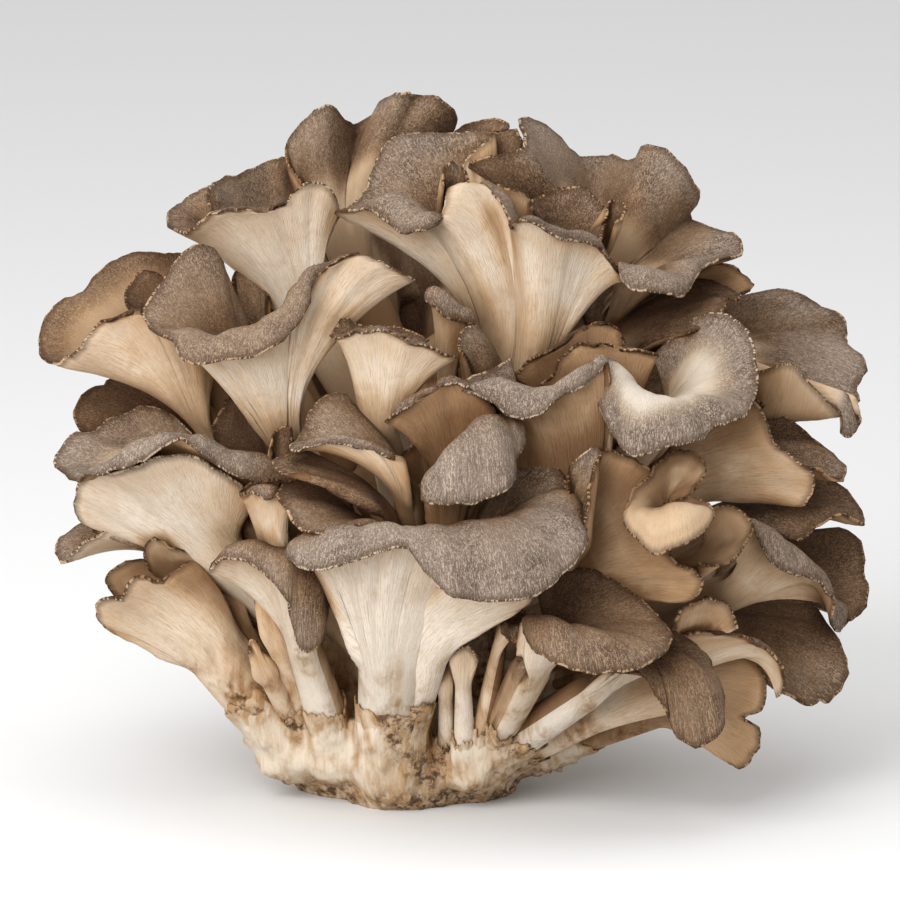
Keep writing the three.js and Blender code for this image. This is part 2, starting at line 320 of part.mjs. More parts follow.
    [-33.6, -53, 63, 0], [-32.3, -50, 65.2, 0], [-29, -48, 66.4, 0], [-25, -47, 66.8, 0],
    [-20, -46, 66, 0]]),
]),
branch("left_centre_pale_lobe", [
  blade([-14, -20, 32], [-31, -38, 48], [5, 4, 3.5], 0.1, [
    [-31, -49, 61, 0.3], [-33.5, -50, 62.8, 1.2], [-35.5, -51, 62.6, 1.5], [-37.5, -50, 63.2, 1.5],
    [-39.3, -49, 64.2, 0.8], [-40.6, -46, 63.5, 0], [-39.5, -44, 65.4, 0], [-36, -43, 66, 0],
    [-33, -43, 66, 0]]),
]),
branch("right_dark_cup", [
  blade([7, -23, 11], [15.5, -42, 28.5], [3.2, 5.2, 4], 0.2, [
    [17, -44, 44, 0], [19, -43, 47, 0], [22, -42, 48.6, 0], [25.5, -42, 48.8, 0], [29, -42, 47.9, 0],
    [33, -43, 45.9, 0], [37, -46, 42.9, 0], [40, -48, 40, 0], [42, -50, 37.8, 0.3], [43, -53, 35.3, 0.8],
    [42, -56, 33, 2], [39.5, -58, 31.2, 3.5], [36, -61, 29.8, 5.2], [32, -62, 29.1, 6.8],
    [28, -63, 29, 7.5], [24, -63, 29.7, 7.8], [20.5, -62, 30.8, 7.6], [17.5, -60, 32.4, 6.6],
    [15.5, -57, 34.6, 4.4], [14.5, -54, 37, 1.8], [15.5, -51, 39, 0], [17.5, -49, 39.5, 0]]),
]),
branch("front_small_stems", [
  blade([5, -24, 9], [9, -40, 30], [2.6, 1.8, 1.7], 0.1, [
    [14.8, -50, 36.4, 1.2], [13, -51, 35, 2], [11.3, -51, 35.4, 2.2], [10.3, -50, 37.3, 1.2],
    [10.2, -47, 39.5, 0], [12.5, -44, 40.8, 0], [15.5, -44, 40.3, 0]]),
  blade([3, -24, 9], [2.6, -38, 25], [2.4, 1.6, 1.5], 0.3, [
    [5.5, -42, 30.7, 0], [5, -43, 32.6, 0.4], [3.5, -43, 33.9, 0.4], [1.5, -43, 33.5, 0.4],
    [0, -42, 32, 0], [-0.3, -41, 30, 0]]),
  blade([0, -20, 9], [-0.8, -34, 23], [2.4, 1.5, 1.4], 0.3, [
    [1, -37, 28.5, 0], [0.5, -37, 30.3, 0], [-1, -37, 31, 0], [-2.2, -37, 30, 0], [-2.3, -36, 28, 0]]),
]),
branch("right_drooping_cap", [
  blade([6, -20, 10], [27, -40, 24.5], [4.4, 3.6, 3.4], 0.15, [
    [41, -38, 36.4, 0], [44, -38, 36.2, 0], [47.5, -40, 34.2, 0.5], [50.3, -42, 31.3, 1.5],
    [52.5, -44, 27.8, 3], [53.8, -46, 23.5, 6], [53.7, -48, 20, 9], [52.5, -50, 17, 12],
    [50.3, -51, 15, 14], [47.8, -52, 14.3, 15], [45.3, -52, 15.2, 14], [43.6, -52, 17.2, 12.5],
    [43, -52, 19.5, 10.5], [41.5, -52, 22, 8], [40, -52, 24, 6], [39, -51, 26.3, 3.8],
    [37.3, -50, 28, 2.2], [34.5, -49, 28.5, 1.2], [31.5, -48, 28.6, 0.8]]),
]),
branch("right_low_stem", [
  blade([9, -14, 11], [27, -28, 19], [4.4, 3.5, 3], 0.4, [
    [46, -34, 20.5, 0], [45, -34, 24, 0], [42, -33, 28, 0], [38, -32, 29, 0]]),
]),
branch("right_centre_fan", [
  blade([10, -14, 34], [23, -34, 47], [6, 7, 4.5], 0.3, [
    [44, -43, 42.3, 0], [46.5, -45, 42.4, 0], [48.3, -46, 43.9, 0], [49.2, -47, 46.2, 0],
    [48.2, -48, 48.2, 0], [46, -48, 49.4, 0], [44, -48, 50.2, 0], [43, -47, 53, 0], [42.5, -46, 58, 0],
    [41, -46, 64, 0], [38.5, -47, 68.7, 0], [35, -48, 70.3, 0], [31.5, -49, 71.7, 0.4],
    [28.5, -50, 72, 0.4], [26, -50, 70, 0], [24.5, -50, 66, 0]]),
  blade([10, -14, 34], [23, -42, 52], [4, 3.5, 2.6], 0.1, [
    [22.8, -51, 62, 0], [23, -51, 66, 0], [24, -51, 69.3, 0], [26.2, -52, 71.6, 0], [28.4, -53, 72.3, 0],
    [28.1, -54, 69, 0], [27.7, -55, 65.5, 0], [26.8, -56, 61.5, 0], [26, -56, 58, 0]]),
]),
branch("right_curled_cup", [
  blade([20, -14, 42], [39, -42, 56], [4, 3.5, 3], 1, [
    [42, -49, 61.5, 0], [45.5, -50, 62.6, 0], [48, -51, 62.6, 0], [50.4, -53, 61.2, 0.3],
    [51.6, -54, 59.4, 1.5], [50.5, -56, 57.4, 3.5], [48, -57, 55.2, 5.5], [45, -58, 53.4, 6.5],
    [42, -58, 52.2, 7], [39.5, -58, 52.1, 6.5], [37.5, -57, 53.2, 5.5], [36, -56, 55, 4.2],
    [34.4, -55, 56.8, 3], [33.7, -53, 59, 1.5], [34.6, -52, 61.8, 0.5], [36.5, -50, 64.5, 0],
    [38.8, -48, 67.3, 0], [40.5, -46, 69.6, 0], [42.8, -44, 71.2, 0], [45, -43, 71.8, 0],
    [47.3, -43, 71.5, 0], [49.2, -44, 70.2, 0], [49.9, -45, 68.3, 0], [48.8, -46, 65.5, 0],
    [47.3, -47, 63.5, 0]]),
  blade([20, -14, 42], [47, -38, 49], [4, 2.5, 2.2], 0.8, [
    [49.5, -40, 59, 0], [52, -39, 60.6, 0], [54.7, -40, 60.9, 0], [57.2, -41, 59.8, 0],
    [58.8, -43, 57.3, 0], [59, -44, 55.2, 0], [58, -45, 53, 0.5], [56.3, -46, 51, 0.8],
    [53.5, -47, 50, 0.8], [50.5, -47, 49.3, 0.6], [48.3, -46, 50.3, 0]]),
]),
branch("right_hooded_frond", [
  blade([26, -10, 36], [54, -25, 44], [5, 5, 4], 0.1, [
    [79.5, -8, 41, 0.5], [79.4, -10, 39, 3], [78.4, -13, 36.6, 6.5], [77, -16, 36, 8.5],
    [76, -19, 37.2, 9], [75.9, -21, 39.5, 7.5], [75, -24, 42.5, 5.5], [73, -27, 45.5, 4.5],
    [70.5, -30, 47, 5], [68, -32, 47.5, 6], [65.5, -34, 48.2, 7], [63.5, -35, 49.8, 6.8],
    [62, -36, 52.2, 5], [60.5, -36, 54.8, 3], [59.3, -35, 57.3, 1], [60, -30, 58.5, 0]]),
]),
branch("right_pale_fan", [
  blade([24, -8, 50], [44, -22, 65], [6, 6, 4.5], 0.2, [
    [66.5, -27, 62, 0], [69.3, -28, 61.2, 0], [70.8, -29, 62.6, 0], [71.7, -30, 65.2, 0],
    [71.3, -31, 67.6, 0], [69, -32, 69.3, 0], [66, -32, 71.3, 0], [63.8, -32, 74, 0], [62, -31, 78, 0],
    [59.5, -30, 81.8, 0], [54, -28, 83, 0]]),
  blade([24, -6, 52], [48, -14, 68], [5, 5, 3.5], 0.1, [
    [60, -20, 82, 0], [64, -18, 80.3, 0], [68, -17, 78, 0], [71, -17, 75.2, 0], [74, -17, 72.7, 0],
    [76.5, -18, 70.8, 0], [78.2, -20, 68.3, 0], [77.8, -22, 65.8, 0], [76, -24, 65.3, 0.4],
    [74.7, -25, 67, 0.8], [73, -26, 68.2, 0.6], [70.8, -26, 68.6, 0]]),
]),
branch("right_dark_fronds", [
  blade([26, -6, 42], [52, -12, 57], [5, 5, 3.5], 0.1, [
    [66, -8, 67, 0], [72, -8, 67.5, 0], [75.5, -9, 66, 0], [78.5, -10, 64.3, 0], [80.7, -12, 61.8, 0],
    [82.2, -15, 58.6, 0.3], [81.8, -18, 57.6, 1], [79.5, -20, 58.4, 1.5], [77, -22, 58.9, 1.5],
    [74.5, -23, 58.2, 1.5], [72.3, -24, 56.8, 1.2], [70.3, -25, 55, 1], [68.5, -26, 54, 0.5]]),
  blade([26, -4, 40], [60, -6, 46], [5, 4, 3], 0.5, [
    [66, -5, 54, 0], [70, -4, 55.5, 0], [73, -4, 56, 0], [77, -3, 56.2, 0], [80, -4, 55.2, 0],
    [82, -6, 53, 0], [82.6, -7, 50, 0], [82, -7, 47.8, 0], [82.6, -8, 46, 0], [83.2, -9, 43.8, 0],
    [82.6, -10, 41.3, 0], [81, -11, 39.3, 0], [79, -12, 38, 0]]),
]),
branch("right_low_dark_frond", [
  blade([24, -8, 26], [52, -14, 34], [5, 5, 3.5], 0.1, [
    [60, -10, 43, 0], [66, -10, 43, 0], [71.5, -10, 41.5, 0], [74.5, -11, 38.3, 0], [76.3, -12, 35, 0],
    [78, -14, 33, 0], [78.7, -15, 30, 0], [78.3, -17, 26.8, 0], [76.8, -18, 23.8, 0], [74.6, -20, 22.2, 0],
    [73, -20, 22.5, 0], [71.8, -21, 21.2, 0], [69, -22, 22.2, 0], [66, -24, 23.8, 0], [63.5, -25, 25, 0]]),
]),
branch("right_arched_lip", [
  blade([18, -14, 18], [42, -28, 29], [5, 3.8, 3], 0.2, [
    [64.2, -30, 23.2, 6.5], [65.6, -30, 24.8, 6], [65.7, -31, 27, 5], [64.3, -32, 29.8, 3],
    [62, -33, 32.4, 2], [59, -34, 34.8, 1], [55, -35, 36.3, 0.6], [50.5, -36, 36.4, 0.5],
    [46.5, -37, 35.4, 0.5], [43.5, -37, 34.3, 0]]),
  blade([20, -14, 24], [43, -30, 33], [4, 3.5, 3], 0.2, [
    [56.6, -36, 37, 0], [55.6, -36, 39, 0], [53.5, -37, 41.2, 0.4], [51, -38, 42.2, 0.4],
    [48, -39, 42, 0.4], [45.5, -40, 40.6, 0], [44, -40, 38.5, 0]]),
]),
branch("right_low_lobes", [
  blade([18, -12, 14], [39, -22, 22], [5, 5.5, 4], 0.6, [
    [53, -24, 12.3, 0], [55.5, -25, 10, 0], [57.2, -25, 9.2, 0], [58.8, -25, 10.3, 0],
    [59.4, -25, 11.8, 0], [60.8, -25, 13, 0], [61.3, -25, 15, 0], [60.8, -25, 17.2, 0],
    [59.3, -25, 18.2, 0], [57.7, -25, 18.8, 0], [59.2, -25, 19.7, 0], [61, -25, 20.3, 0],
    [62, -25, 22.3, 0], [62.3, -25, 25.3, 0], [61.3, -26, 28.5, 0], [58.5, -27, 31.5, 0], [54, -28, 33, 0],
    [50, -28, 33.5, 0]]),
]),
];

// The back of the head, in tiers of fronds that lean outwards: [first part of the name, how many
// stalks, fronds on each, middle direction, spread between neighbours, foot height, neck height,
// neck reach, margin height, margin reach, half width, how deeply the margin waves]. Directions are
// degrees from straight back, towards the right-hand side.
const BACK_TIERS = [
  ['back_low', 5, 1, 0, 36, 20, 30, 25, 50, 44, 20.5, 4],
  ['back_middle', 5, 2, 2, 34, 38, 52, 27, 78, 53, 22.6, 5],
  ['back_upper', 4, 2, 0, 36, 54, 78, 20, 108, 40, 20.8, 5],
  ['back_crown', 2, 1, -6, 62, 66, 98, 17, 127, 29, 18, 4],
];
const INNER_FROND = { reach: 0.72, rise: 5, width: 0.7, turn: 14 }; // the smaller frond on a fork

/** Point that lies out from the core in one direction, and across it. */
const outwards = (turn) => (out, across, up) => [
  -6 + out * Math.sin(turn) + across * Math.cos(turn),
  2 + out * Math.cos(turn) - across * Math.sin(turn), up];

/** Margin of a back frond: a wide arc that rises in the middle and waves in and out. */
function wavedMargin(at, { reach, height, half, wave, phase }, points) {
  return Array.from({ length: points }, (_, j) => {
    const t = (2 * j) / (points - 1) - 1; // -1 at one end of the margin, 1 at the other
    const out = reach - 9 * t * t - 4 * t ** 6 + wave * Math.sin(5 * t + phase * 1.7);
    const up = height - 15 + 15 * Math.cos(t * 2.15) + 0.4 * wave * Math.cos(4 * t + phase);
    return [...at(out, half * Math.sin(t * 1.95), up), (1 + (j % 3)) * (1 - t ** 4)];
  });
}

/** Makes one tier of the back: each stalk carries a broad frond and a smaller one inside it. */
function backTier([name, count, forks, middle, spread, ...sizes]) {
  const [footZ, neckZ, neckOut, rimZ, rimOut, half, wave] = sizes;
  return Array.from({ length: count }, (_, i) => {
    const turn = THREE.MathUtils.degToRad(middle + (i - (count - 1) / 2) * spread);
    const at = outwards(turn);
    const inner = outwards(turn + THREE.MathUtils.degToRad(i % 2 ? INNER_FROND.turn : -INNER_FROND.turn));
    const low = (i % 2) * 6;
    const foot = at(11, 0, footZ - low);
    const broad = { reach: rimOut, height: rimZ - low, half, wave, phase: i };
    const small = { reach: rimOut * INNER_FROND.reach, height: rimZ - low + INNER_FROND.rise,
      half: half * INNER_FROND.width, wave, phase: i + 2 };
    const blades = [
      blade(foot, at(neckOut, 0, neckZ - low), [7, 7, 4.5], 0.3, wavedMargin(at, broad, 11)),
      blade(foot, inner(neckOut * 0.8, 0, neckZ - low + 6), [5, 4.5, 3.5], 0.2,
        wavedMargin(inner, small, 9)),
    ];
    return branch(`${name}_${String.fromCharCode(97 + i)}`, blades.slice(0, forks));
  });
}

/** How far forward a branch reaches. */
const foremost = ({ blades }) => Math.min(...blades.flatMap(({ rim }) => rim.map((p) => p[1])));

// in the order they are cut: the foremost ones keep their whole shape
const BRANCHES = [FRONT_BRANCHES, BACK_TIERS.flatMap(backTier)]
  .flatMap((side) => side.sort((a, b) => foremost(a) - foremost(b)));

// ---- vector helpers ----
const v3 = (p) => new THREE.Vector3(p[0], p[1], p[2]);
const mean = (points) =>
  points.reduce((sum, p) => sum.add(v3(p)), new THREE.Vector3()).divideScalar(points.length);

/** Smooth curve through the margin's points, which also carries how far each one rolls over. */
function marginCurve(rim) {
  const last = rim.length - 1;
  const mix = (a, b) => a.map((value, k) => 2 * value - b[k]);
  const padded = [mix(rim[0], rim[1]), ...rim, mix(rim[last], rim[last - 1])];
  return (u) => {
    const i = Math.min(Math.floor(u * last), last - 1);
    const f = u * last - i;
    const [a, b, c, d] = padded.slice(i, i + 4);
    return b.map((_, k) => 0.5 * (2 * b[k] + (c[k] - a[k]) * f
      + (2 * a[k] - 5 * b[k] + 4 * c[k] - d[k]) * f * f
      + (3 * b[k] - a[k] - 3 * c[k] + d[k]) * f * f * f));
  };
}

/** Middle surface of a blade: rows of points from its foot to its margin, and half thicknesses. */
function bladeRows({ foot, neck, widths, rim }) {
  const length = rim.slice(1).reduce((sum, p, i) => sum + v3(p).distanceTo(v3(rim[i])), 0);
  const columns = Math.max(4, Math.min(MOST_COLUMNS, Math.round(length / COLUMN_PITCH)));
  const at = marginCurve(rim);
  const [footPoint, neckPoint] = [v3(foot), v3(neck)];
  const along = neckPoint.clone().sub(footPoint).normalize();
  const half = Math.floor(rim.length / 2);
  const side = mean(rim.slice(half)).sub(mean(rim.slice(0, rim.length - half)));
  side.addScaledVector(along, -side.dot(along)).normalize();
  const turns = Array.from({ length: columns + 1 }, (_, i) => Math.PI * (1 - i / columns));
  const rows = [];
  for (let k = 0; k < STEM_ROWS; k += 1) {
    const t = k / STEM_ROWS;
    const halfWidth = widths[0] + (widths[1] - widths[0]) * t;
    const deep = halfWidth + (widths[2] - widths[1]) * t;
    const centre = footPoint.clone().lerp(neckPoint, t);
    rows.push(turns.map((turn) => ({
      point: centre.clone().addScaledVector(side, halfWidth * Math.cos(turn)),
      thick: deep * Math.sin(turn),
    })));
  }
  for (let k = 0; k <= FAN_ROWS; k += 1) {
    rows.push(turns.map((turn, i) => fanPoint(k / FAN_ROWS, turn, at(i / columns),
      { neckPoint, along, side, widths })));
  }
  return rows;
}

/** A point of the fan: it leaves along the stem, and folds over as it comes to the margin. */
function fanPoint(v, turn, margin, { neckPoint, along, side, widths }) {
  const start = neckPoint.clone().addScaledVector(side, widths[1] * Math.cos(turn));
  const end = v3(margin);
  const pull = start.clone().addScaledVector(along, start.distanceTo(end) * STEM_PULL);
  const folded = Math.min(1, Math.abs(margin[3]) / FULL_FOLD);
  const bend = pull.clone().lerp(end, RIM_PULL + (FOLD_PULL - RIM_PULL) * folded);
  // the curve passes the top of its fold three quarters of the way out
  const top = (end.z * 0.5781 + margin[3] - start.z * 0.0156 - pull.z * 0.1406) / 0.4219;
  bend.z += (top - bend.z) * folded;
  const point = new THREE.CubicBezierCurve3(start, pull, bend, end).getPoint(v);
  const sheet = SHEET_AT_NECK + (SHEET_AT_RIM - SHEET_AT_NECK) * v;
  const flat = Math.min(1, v * 2);
  const across = Math.min(1, (1 + 7 * flat) * Math.sin(turn));
  const edge = flat * Math.sqrt(1 - (1 - across) ** 2) + (1 - flat) * Math.sin(turn);
  const thick = (widths[2] * (1 - v) ** 2 + sheet * (1 - (1 - v) ** 2)) * edge;
  return { point, thick };
}

/** Direction square to the middle surface at row k, column i. */
function squareTo(rows, k, i) {
  const at = (row, column) => rows[Math.max(0, Math.min(rows.length - 1, row))][
    Math.max(0, Math.min(rows[0].length - 1, column))].point;
  const across = at(k, i + 1).clone().sub(at(k, i - 1));
  const along = at(k + 1, i).clone().sub(at(k - 1, i));
  return across.cross(along).normalize();
}

/** Closed skin of one blade: upper and under side, joined round the edge and capped at the foot. */
function bladeSkin(spec) {
  const rows = bladeRows(spec);
  const columns = rows[0].length - 1;
  const points = [];
  const faces = [];
  const put = (p) => points.push([p.x, p.y, p.z]) - 1;
  const top = rows.map((row, k) => row.map(({ point, thick }, i) =>
    put(point.clone().addScaledVector(squareTo(rows, k, i), thick))));
  const under = rows.map((row, k) => row.map(({ point, thick }, i) => (i === 0 || i === columns
    ? top[k][i] : put(point.clone().addScaledVector(squareTo(rows, k, i), -thick)))));
  const quad = (a, b, c, d) => [[a, b, c], [a, c, d]]
    .filter(([p, q, r]) => p !== q && q !== r && r !== p).forEach((face) => faces.push(face));
  for (let k = 0; k < rows.length - 1; k += 1) {
    for (let i = 0; i < columns; i += 1) {
      quad(top[k][i], top[k][i + 1], top[k + 1][i + 1], top[k + 1][i]);
      quad(under[k + 1][i], under[k + 1][i + 1], under[k][i + 1], under[k][i]);
    }
  }
  const last = rows.length - 1;
  for (let i = 0; i < columns; i += 1) {
    quad(top[last][i], top[last][i + 1], under[last][i + 1], under[last][i]);
    quad(top[0][i + 1], top[0][i], under[0][i], under[0][i + 1]);
  }
  return { points, faces };
}

/** The skin moved outwards by a distance, so that what it is taken from keeps clear of it. */
function grown({ points, faces }, distance) {
  const normals = points.map(() => []);
  faces.forEach((face) => {
    const [a, b, c] = face.map((index) => v3(points[index]));
    const normal = b.sub(a).cross(c.sub(a)).normalize();
    face.forEach((index) => normals[index].push(normal));
  });
  const moved = points.map((p, index) => {
    const out = normals[index].reduce((sum, n) => sum.add(n), new THREE.Vector3()).normalize();
    const least = Math.min(...normals[index].map((n) => n.dot(out)));
    return v3(p).addScaledVector(out, distance / Math.max(0.4, least)).toArray();
  });
  return { points: moved, faces };
}

/** A closed skin as a solid. */
function solidOf({ points, faces }) {
  return new Manifold(new Mesh({
    numProp: 3,
    vertProperties: new Float32Array(points.flat()),
    triVerts: new Uint32Array(faces.flat()),
  }));
}

// ---- the cut base ----
// Lumps of the base as [x, y, z, radius], then the core that branches up through the fronds.
const BASE_LUMPS = [
  [-20, -6, 11, 12.5], [-9, -13, 10, 14.5], [2, -10, 10, 12], [-32, -12, 19, 7.5], [13, -10, 14, 5.5],
  [-25, 6, 16, 12], [-10, 12, 16, 14], [3, 8, 14, 12], [-10, 0, 14, 19], [-9, -2, 26, 17],
];
const CORE = [
  [[-9, 0, 22], [-6, 0, 46], 15, 11],
  [[-6, 0, 46], [-2, -2, 78], 11, 7],
];
const BASE_BLEND = 3.2; // how softly the lumps run into each other
const BASE_MIDDLE = [-6, 0, 49]; // centre and half size of the cube that the base is grown in
const BASE_HALF = 64;
const BASE_CELLS = 32;

/** Distance from p to the surface of a tapering rod, less than zero inside it. */
function rodDistance(p, [from, to, fromRadius, toRadius]) {
  const [ax, ay, az] = from;
  const [bx, by, bz] = [to[0] - ax, to[1] - ay, to[2] - az];
  const [px, py, pz] = [p[0] - ax, p[1] - ay, p[2] - az];
  const t = Math.max(0, Math.min(1, (px * bx + py * by + pz * bz) / (bx * bx + by * by + bz * bz)));
  return Math.hypot(px - bx * t, py - by * t, pz - bz * t) - (fromRadius + (toRadius - fromRadius) * t);
}

/** Whether a blade grows from the base. The others grow out of their neighbour on the branch. */
const isRooted = ({ foot: [x, y] }) => Math.hypot(x + 8, y) < 45;

/** Short arm of the base out to a blade's foot, from lower down on the core. */
function armTo(spec) {
  const [x, y, z] = spec.foot;
  const drop = Math.min(0.7 * Math.hypot(x + 8, y), z - 8);
  return [[-8 + (x + 8) * 0.15, y * 0.15, z - drop], spec.foot, spec.widths[0] + 2, spec.widths[0] + 0.8];
}

/** The base as a field that is above zero inside the flesh. */
function baseField() {
  const arms = BRANCHES.flatMap(({ blades }) => blades.filter(isRooted).map(armTo));
  const rods = [...CORE, ...arms];
  return (p) => {
    let sum = 0;
    for (const [x, y, z, radius] of BASE_LUMPS) {
      sum += Math.exp(-(Math.hypot(p[0] - x, p[1] - y, p[2] - z) - radius) / BASE_BLEND);
    }
    for (const rod of rods) sum += Math.exp(-rodDistance(p, rod) / BASE_BLEND);
    return BASE_BLEND * (Math.log(sum) - 0.5);
  };
}

const UP = [0, -Math.sin(LEAN), Math.cos(LEAN)]; // upwards from the cut face, in the upright frame
const CUT_HEIGHT = CUT_CENTRE[1] * UP[1] + CUT_CENTRE[2] * UP[2];

/** Closed skin of the base where the field passes a level: 0 is the flesh, less lies outside it. */
function baseSkin(field, level) {
  const cubes = new MarchingCubes(BASE_CELLS, new THREE.MeshStandardMaterial(), false, false, 40000);
  const place = (cell, k) => BASE_MIDDLE[k] + (BASE_HALF * (cell - BASE_CELLS / 2)) / (BASE_CELLS / 2);
  for (let index = 0; index < cubes.field.length; index += 1) {
    const cell = [index % BASE_CELLS, Math.floor(index / BASE_CELLS) % BASE_CELLS,
      Math.floor(index / BASE_CELLS ** 2)];
    cubes.field[index] = field(cell.map(place));
  }
  cubes.isolation = level;
  cubes.update();
  const geometry = new THREE.BufferGeometry();
  const corners = cubes.positionArray.slice(0, cubes.count * 3);
  geometry.setAttribute('position', new THREE.BufferAttribute(corners, 3));
  geometry.scale(BASE_HALF, BASE_HALF, BASE_HALF).translate(...BASE_MIDDLE);
  const merged = mergeVertices(geometry, 1e-3);
  const position = merged.attributes.position.array;
  const index = merged.index.array;
  const points = Array.from({ length: position.length / 3 }, (_, i) => [...position.slice(3 * i, 3 * i + 3)]);
  const faces = Array.from({ length: index.length / 3 }, (_, i) => [...index.slice(3 * i, 3 * i + 3)])
    .filter(([a, b, c]) => a !== b && b !== c && c !== a);
  return { points, faces };
}

/** The base, cut flat, and the same base grown by the clearance that the stems keep from it. */
function makeBase() {
  const field = baseField();
  const whole = largest(solidOf(baseSkin(field, 0)));
  return {
    base: largest(whole.simplify(0.5).trimByPlane(UP, CUT_HEIGHT)),
    clear: largest(solidOf(baseSkin(field, -CLEARANCE - 0.3))),
  };
}

/** The biggest single piece of a solid. */
function largest(solid) {
  return solid.decompose().sort((a, b) => b.volume() - a.volume())[0];
}

// ---- putting the head together ----
/** Whether the boxes of two solids touch. */
function boxesMeet(a, b) {
  const [first, second] = [a.boundingBox(), b.boundingBox()];
  return [0, 1, 2].every((k) => first.min[k] < second.max[k] && second.min[k] < first.max[k]);
}

/** Solids of the base and of every branch, each clear of those that stand before it. */
function makeSolids() {
  const { base, clear } = makeBase();
  const placed = [clear];
  const solids = [{ name: 'cut_base', pale: 1, solid: base }];
  BRANCHES.forEach(({ name, blades }) => {
    const skins = blades.map(bladeSkin);
    const whole = Manifold.union(skins.map(solidOf));
    const room = Manifold.union(skins.map((skin) => solidOf(grown(skin, CLEARANCE))));
    const near = placed.filter((other) => boxesMeet(whole, other));
    const cut = near.length ? Manifold.difference([whole, ...near]) : whole;
    const plain = largest(cut.simplify(0.125));
    const solid = solids.filter((other) => boxesMeet(plain, other.solid))
      .filter((other) => plain.intersect(other.solid).volume() > 0.001)
      .reduce((rest, other) => largest(rest.subtract(other.solid).simplify(0.02)), plain);
    solids.push({ name, pale: blades[0].pale, solid });
    placed.push(room);
  });
  return solids;
}

/** A solid as a three.js mesh, coloured by which part of the mushroom it is. */
function meshOf({ name, pale, solid }) {
  const { triVerts, vertProperties } = solid.getMesh();
  const geometry = new THREE.BufferGeometry();
  geometry.setAttribute('position', new THREE.BufferAttribute(vertProperties, 3));
  geometry.setIndex(new THREE.BufferAttribute(triVerts, 1));
  geometry.computeVertexNormals();
  const colour = name === 'cut_base' ? CLAY.cream : pale > 0.25 ? CLAY.tan : CLAY.brown;
  const material = new THREE.MeshStandardMaterial({ color: colour, roughness: 0.85 });
  material.name = name === 'cut_base' ? 'base_flesh' : 'frond_flesh';
  const mesh = new THREE.Mesh(geometry, material);
  mesh.name = name;
  return mesh;
}

const head = new THREE.Group();
head.name = 'head';
makeSolids().forEach((part) => head.add(meshOf(part)));
head.position.set(-CUT_CENTRE[0], -CUT_CENTRE[1], -CUT_CENTRE[2]);

const group = new THREE.Group();
group.name = 'maitake_mushroom';
group.add(head);
group.rotation.x = -LEAN;
group.scale.setScalar(HEAD_WIDTH / 165);
group.updateMatrixWorld(true);

export default group;
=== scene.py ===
"""Dresses the maitake mushroom: fine fronds, a torn pale base, flesh finishes and a studio."""
import logging
import math
from dataclasses import dataclass, field
from enum import Enum
from typing import Callable, Iterable, Sequence

import bmesh
import bpy
import numpy as np
from mathutils import Matrix, Vector, noise
from mathutils.bvhtree import BVHTree


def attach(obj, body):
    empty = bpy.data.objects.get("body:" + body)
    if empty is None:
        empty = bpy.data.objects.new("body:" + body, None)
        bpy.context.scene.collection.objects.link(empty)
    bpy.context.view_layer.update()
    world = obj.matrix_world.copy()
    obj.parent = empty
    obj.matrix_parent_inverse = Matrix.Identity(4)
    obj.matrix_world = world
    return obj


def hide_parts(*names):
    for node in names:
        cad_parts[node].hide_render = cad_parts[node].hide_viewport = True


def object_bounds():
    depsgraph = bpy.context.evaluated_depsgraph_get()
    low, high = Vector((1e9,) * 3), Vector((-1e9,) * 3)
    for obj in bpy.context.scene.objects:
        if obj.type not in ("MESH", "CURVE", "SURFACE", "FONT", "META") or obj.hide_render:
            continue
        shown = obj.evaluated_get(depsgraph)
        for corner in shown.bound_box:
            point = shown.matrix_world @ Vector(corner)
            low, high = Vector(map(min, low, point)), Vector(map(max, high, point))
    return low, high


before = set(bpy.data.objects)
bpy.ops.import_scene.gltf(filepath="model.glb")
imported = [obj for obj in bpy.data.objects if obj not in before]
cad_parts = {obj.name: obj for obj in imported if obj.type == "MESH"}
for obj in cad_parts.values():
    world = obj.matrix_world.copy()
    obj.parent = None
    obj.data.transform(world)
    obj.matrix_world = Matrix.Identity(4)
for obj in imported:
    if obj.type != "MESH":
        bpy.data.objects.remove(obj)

CAD_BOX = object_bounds()
LOG = logging.getLogger("maitake")
TRUNK_X = -8.0  # the head's trunk stands here, in drawn millimetres
WELD = 2e-7  # metres, under which two points of one skin are the same
GOLDEN_ANGLE = 2.399963  # radians between neighbours, which spreads directions evenly over a ball


class Side(Enum):
    """Which face of a frond a vertex lies on."""

    UPPER = 1.0
    EDGE = 0.5
    UNDER = 0.0


@dataclass(frozen=True)
class HeadFrame:
    """How the upright head leans back on its cut face.

    The fronds are drawn upright, x across, -y to the front and z up. The head then turns about
    the middle of its cut face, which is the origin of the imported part.
    """

    lean: float = math.radians(12)
    cut_centre: tuple[float, float, float] = (-10, 0, 6)
    drawn_width: float = 164.913

    @property
    def scale(self) -> float:
        """Metres for each drawn millimetre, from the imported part's width."""
        return (CAD_BOX[1][0] - CAD_BOX[0][0]) / self.drawn_width

    def place(self, points: np.ndarray) -> np.ndarray:
        """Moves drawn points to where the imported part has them.

        Args:
            points: Points in drawn millimetres, in rows of x, y and z.

        Returns:
            The points in metres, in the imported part's frame.
        """
        x, y, z = np.moveaxis(np.asarray(points, float) - np.array(self.cut_centre), -1, 0)
        c, s = math.cos(self.lean), math.sin(self.lean)
        return np.stack([x, y * c + z * s, z * c - y * s], -1) * self.scale

    def place_point(self, point: Sequence[float]) -> Vector:
        """The place of one drawn point."""
        return Vector(self.place(np.array(point)))


HEAD = HeadFrame()


def unit(vectors: np.ndarray) -> np.ndarray:
    """Vectors of the same directions, each of length 1."""
    return vectors / np.maximum(np.linalg.norm(vectors, axis=-1, keepdims=True), 1e-9)


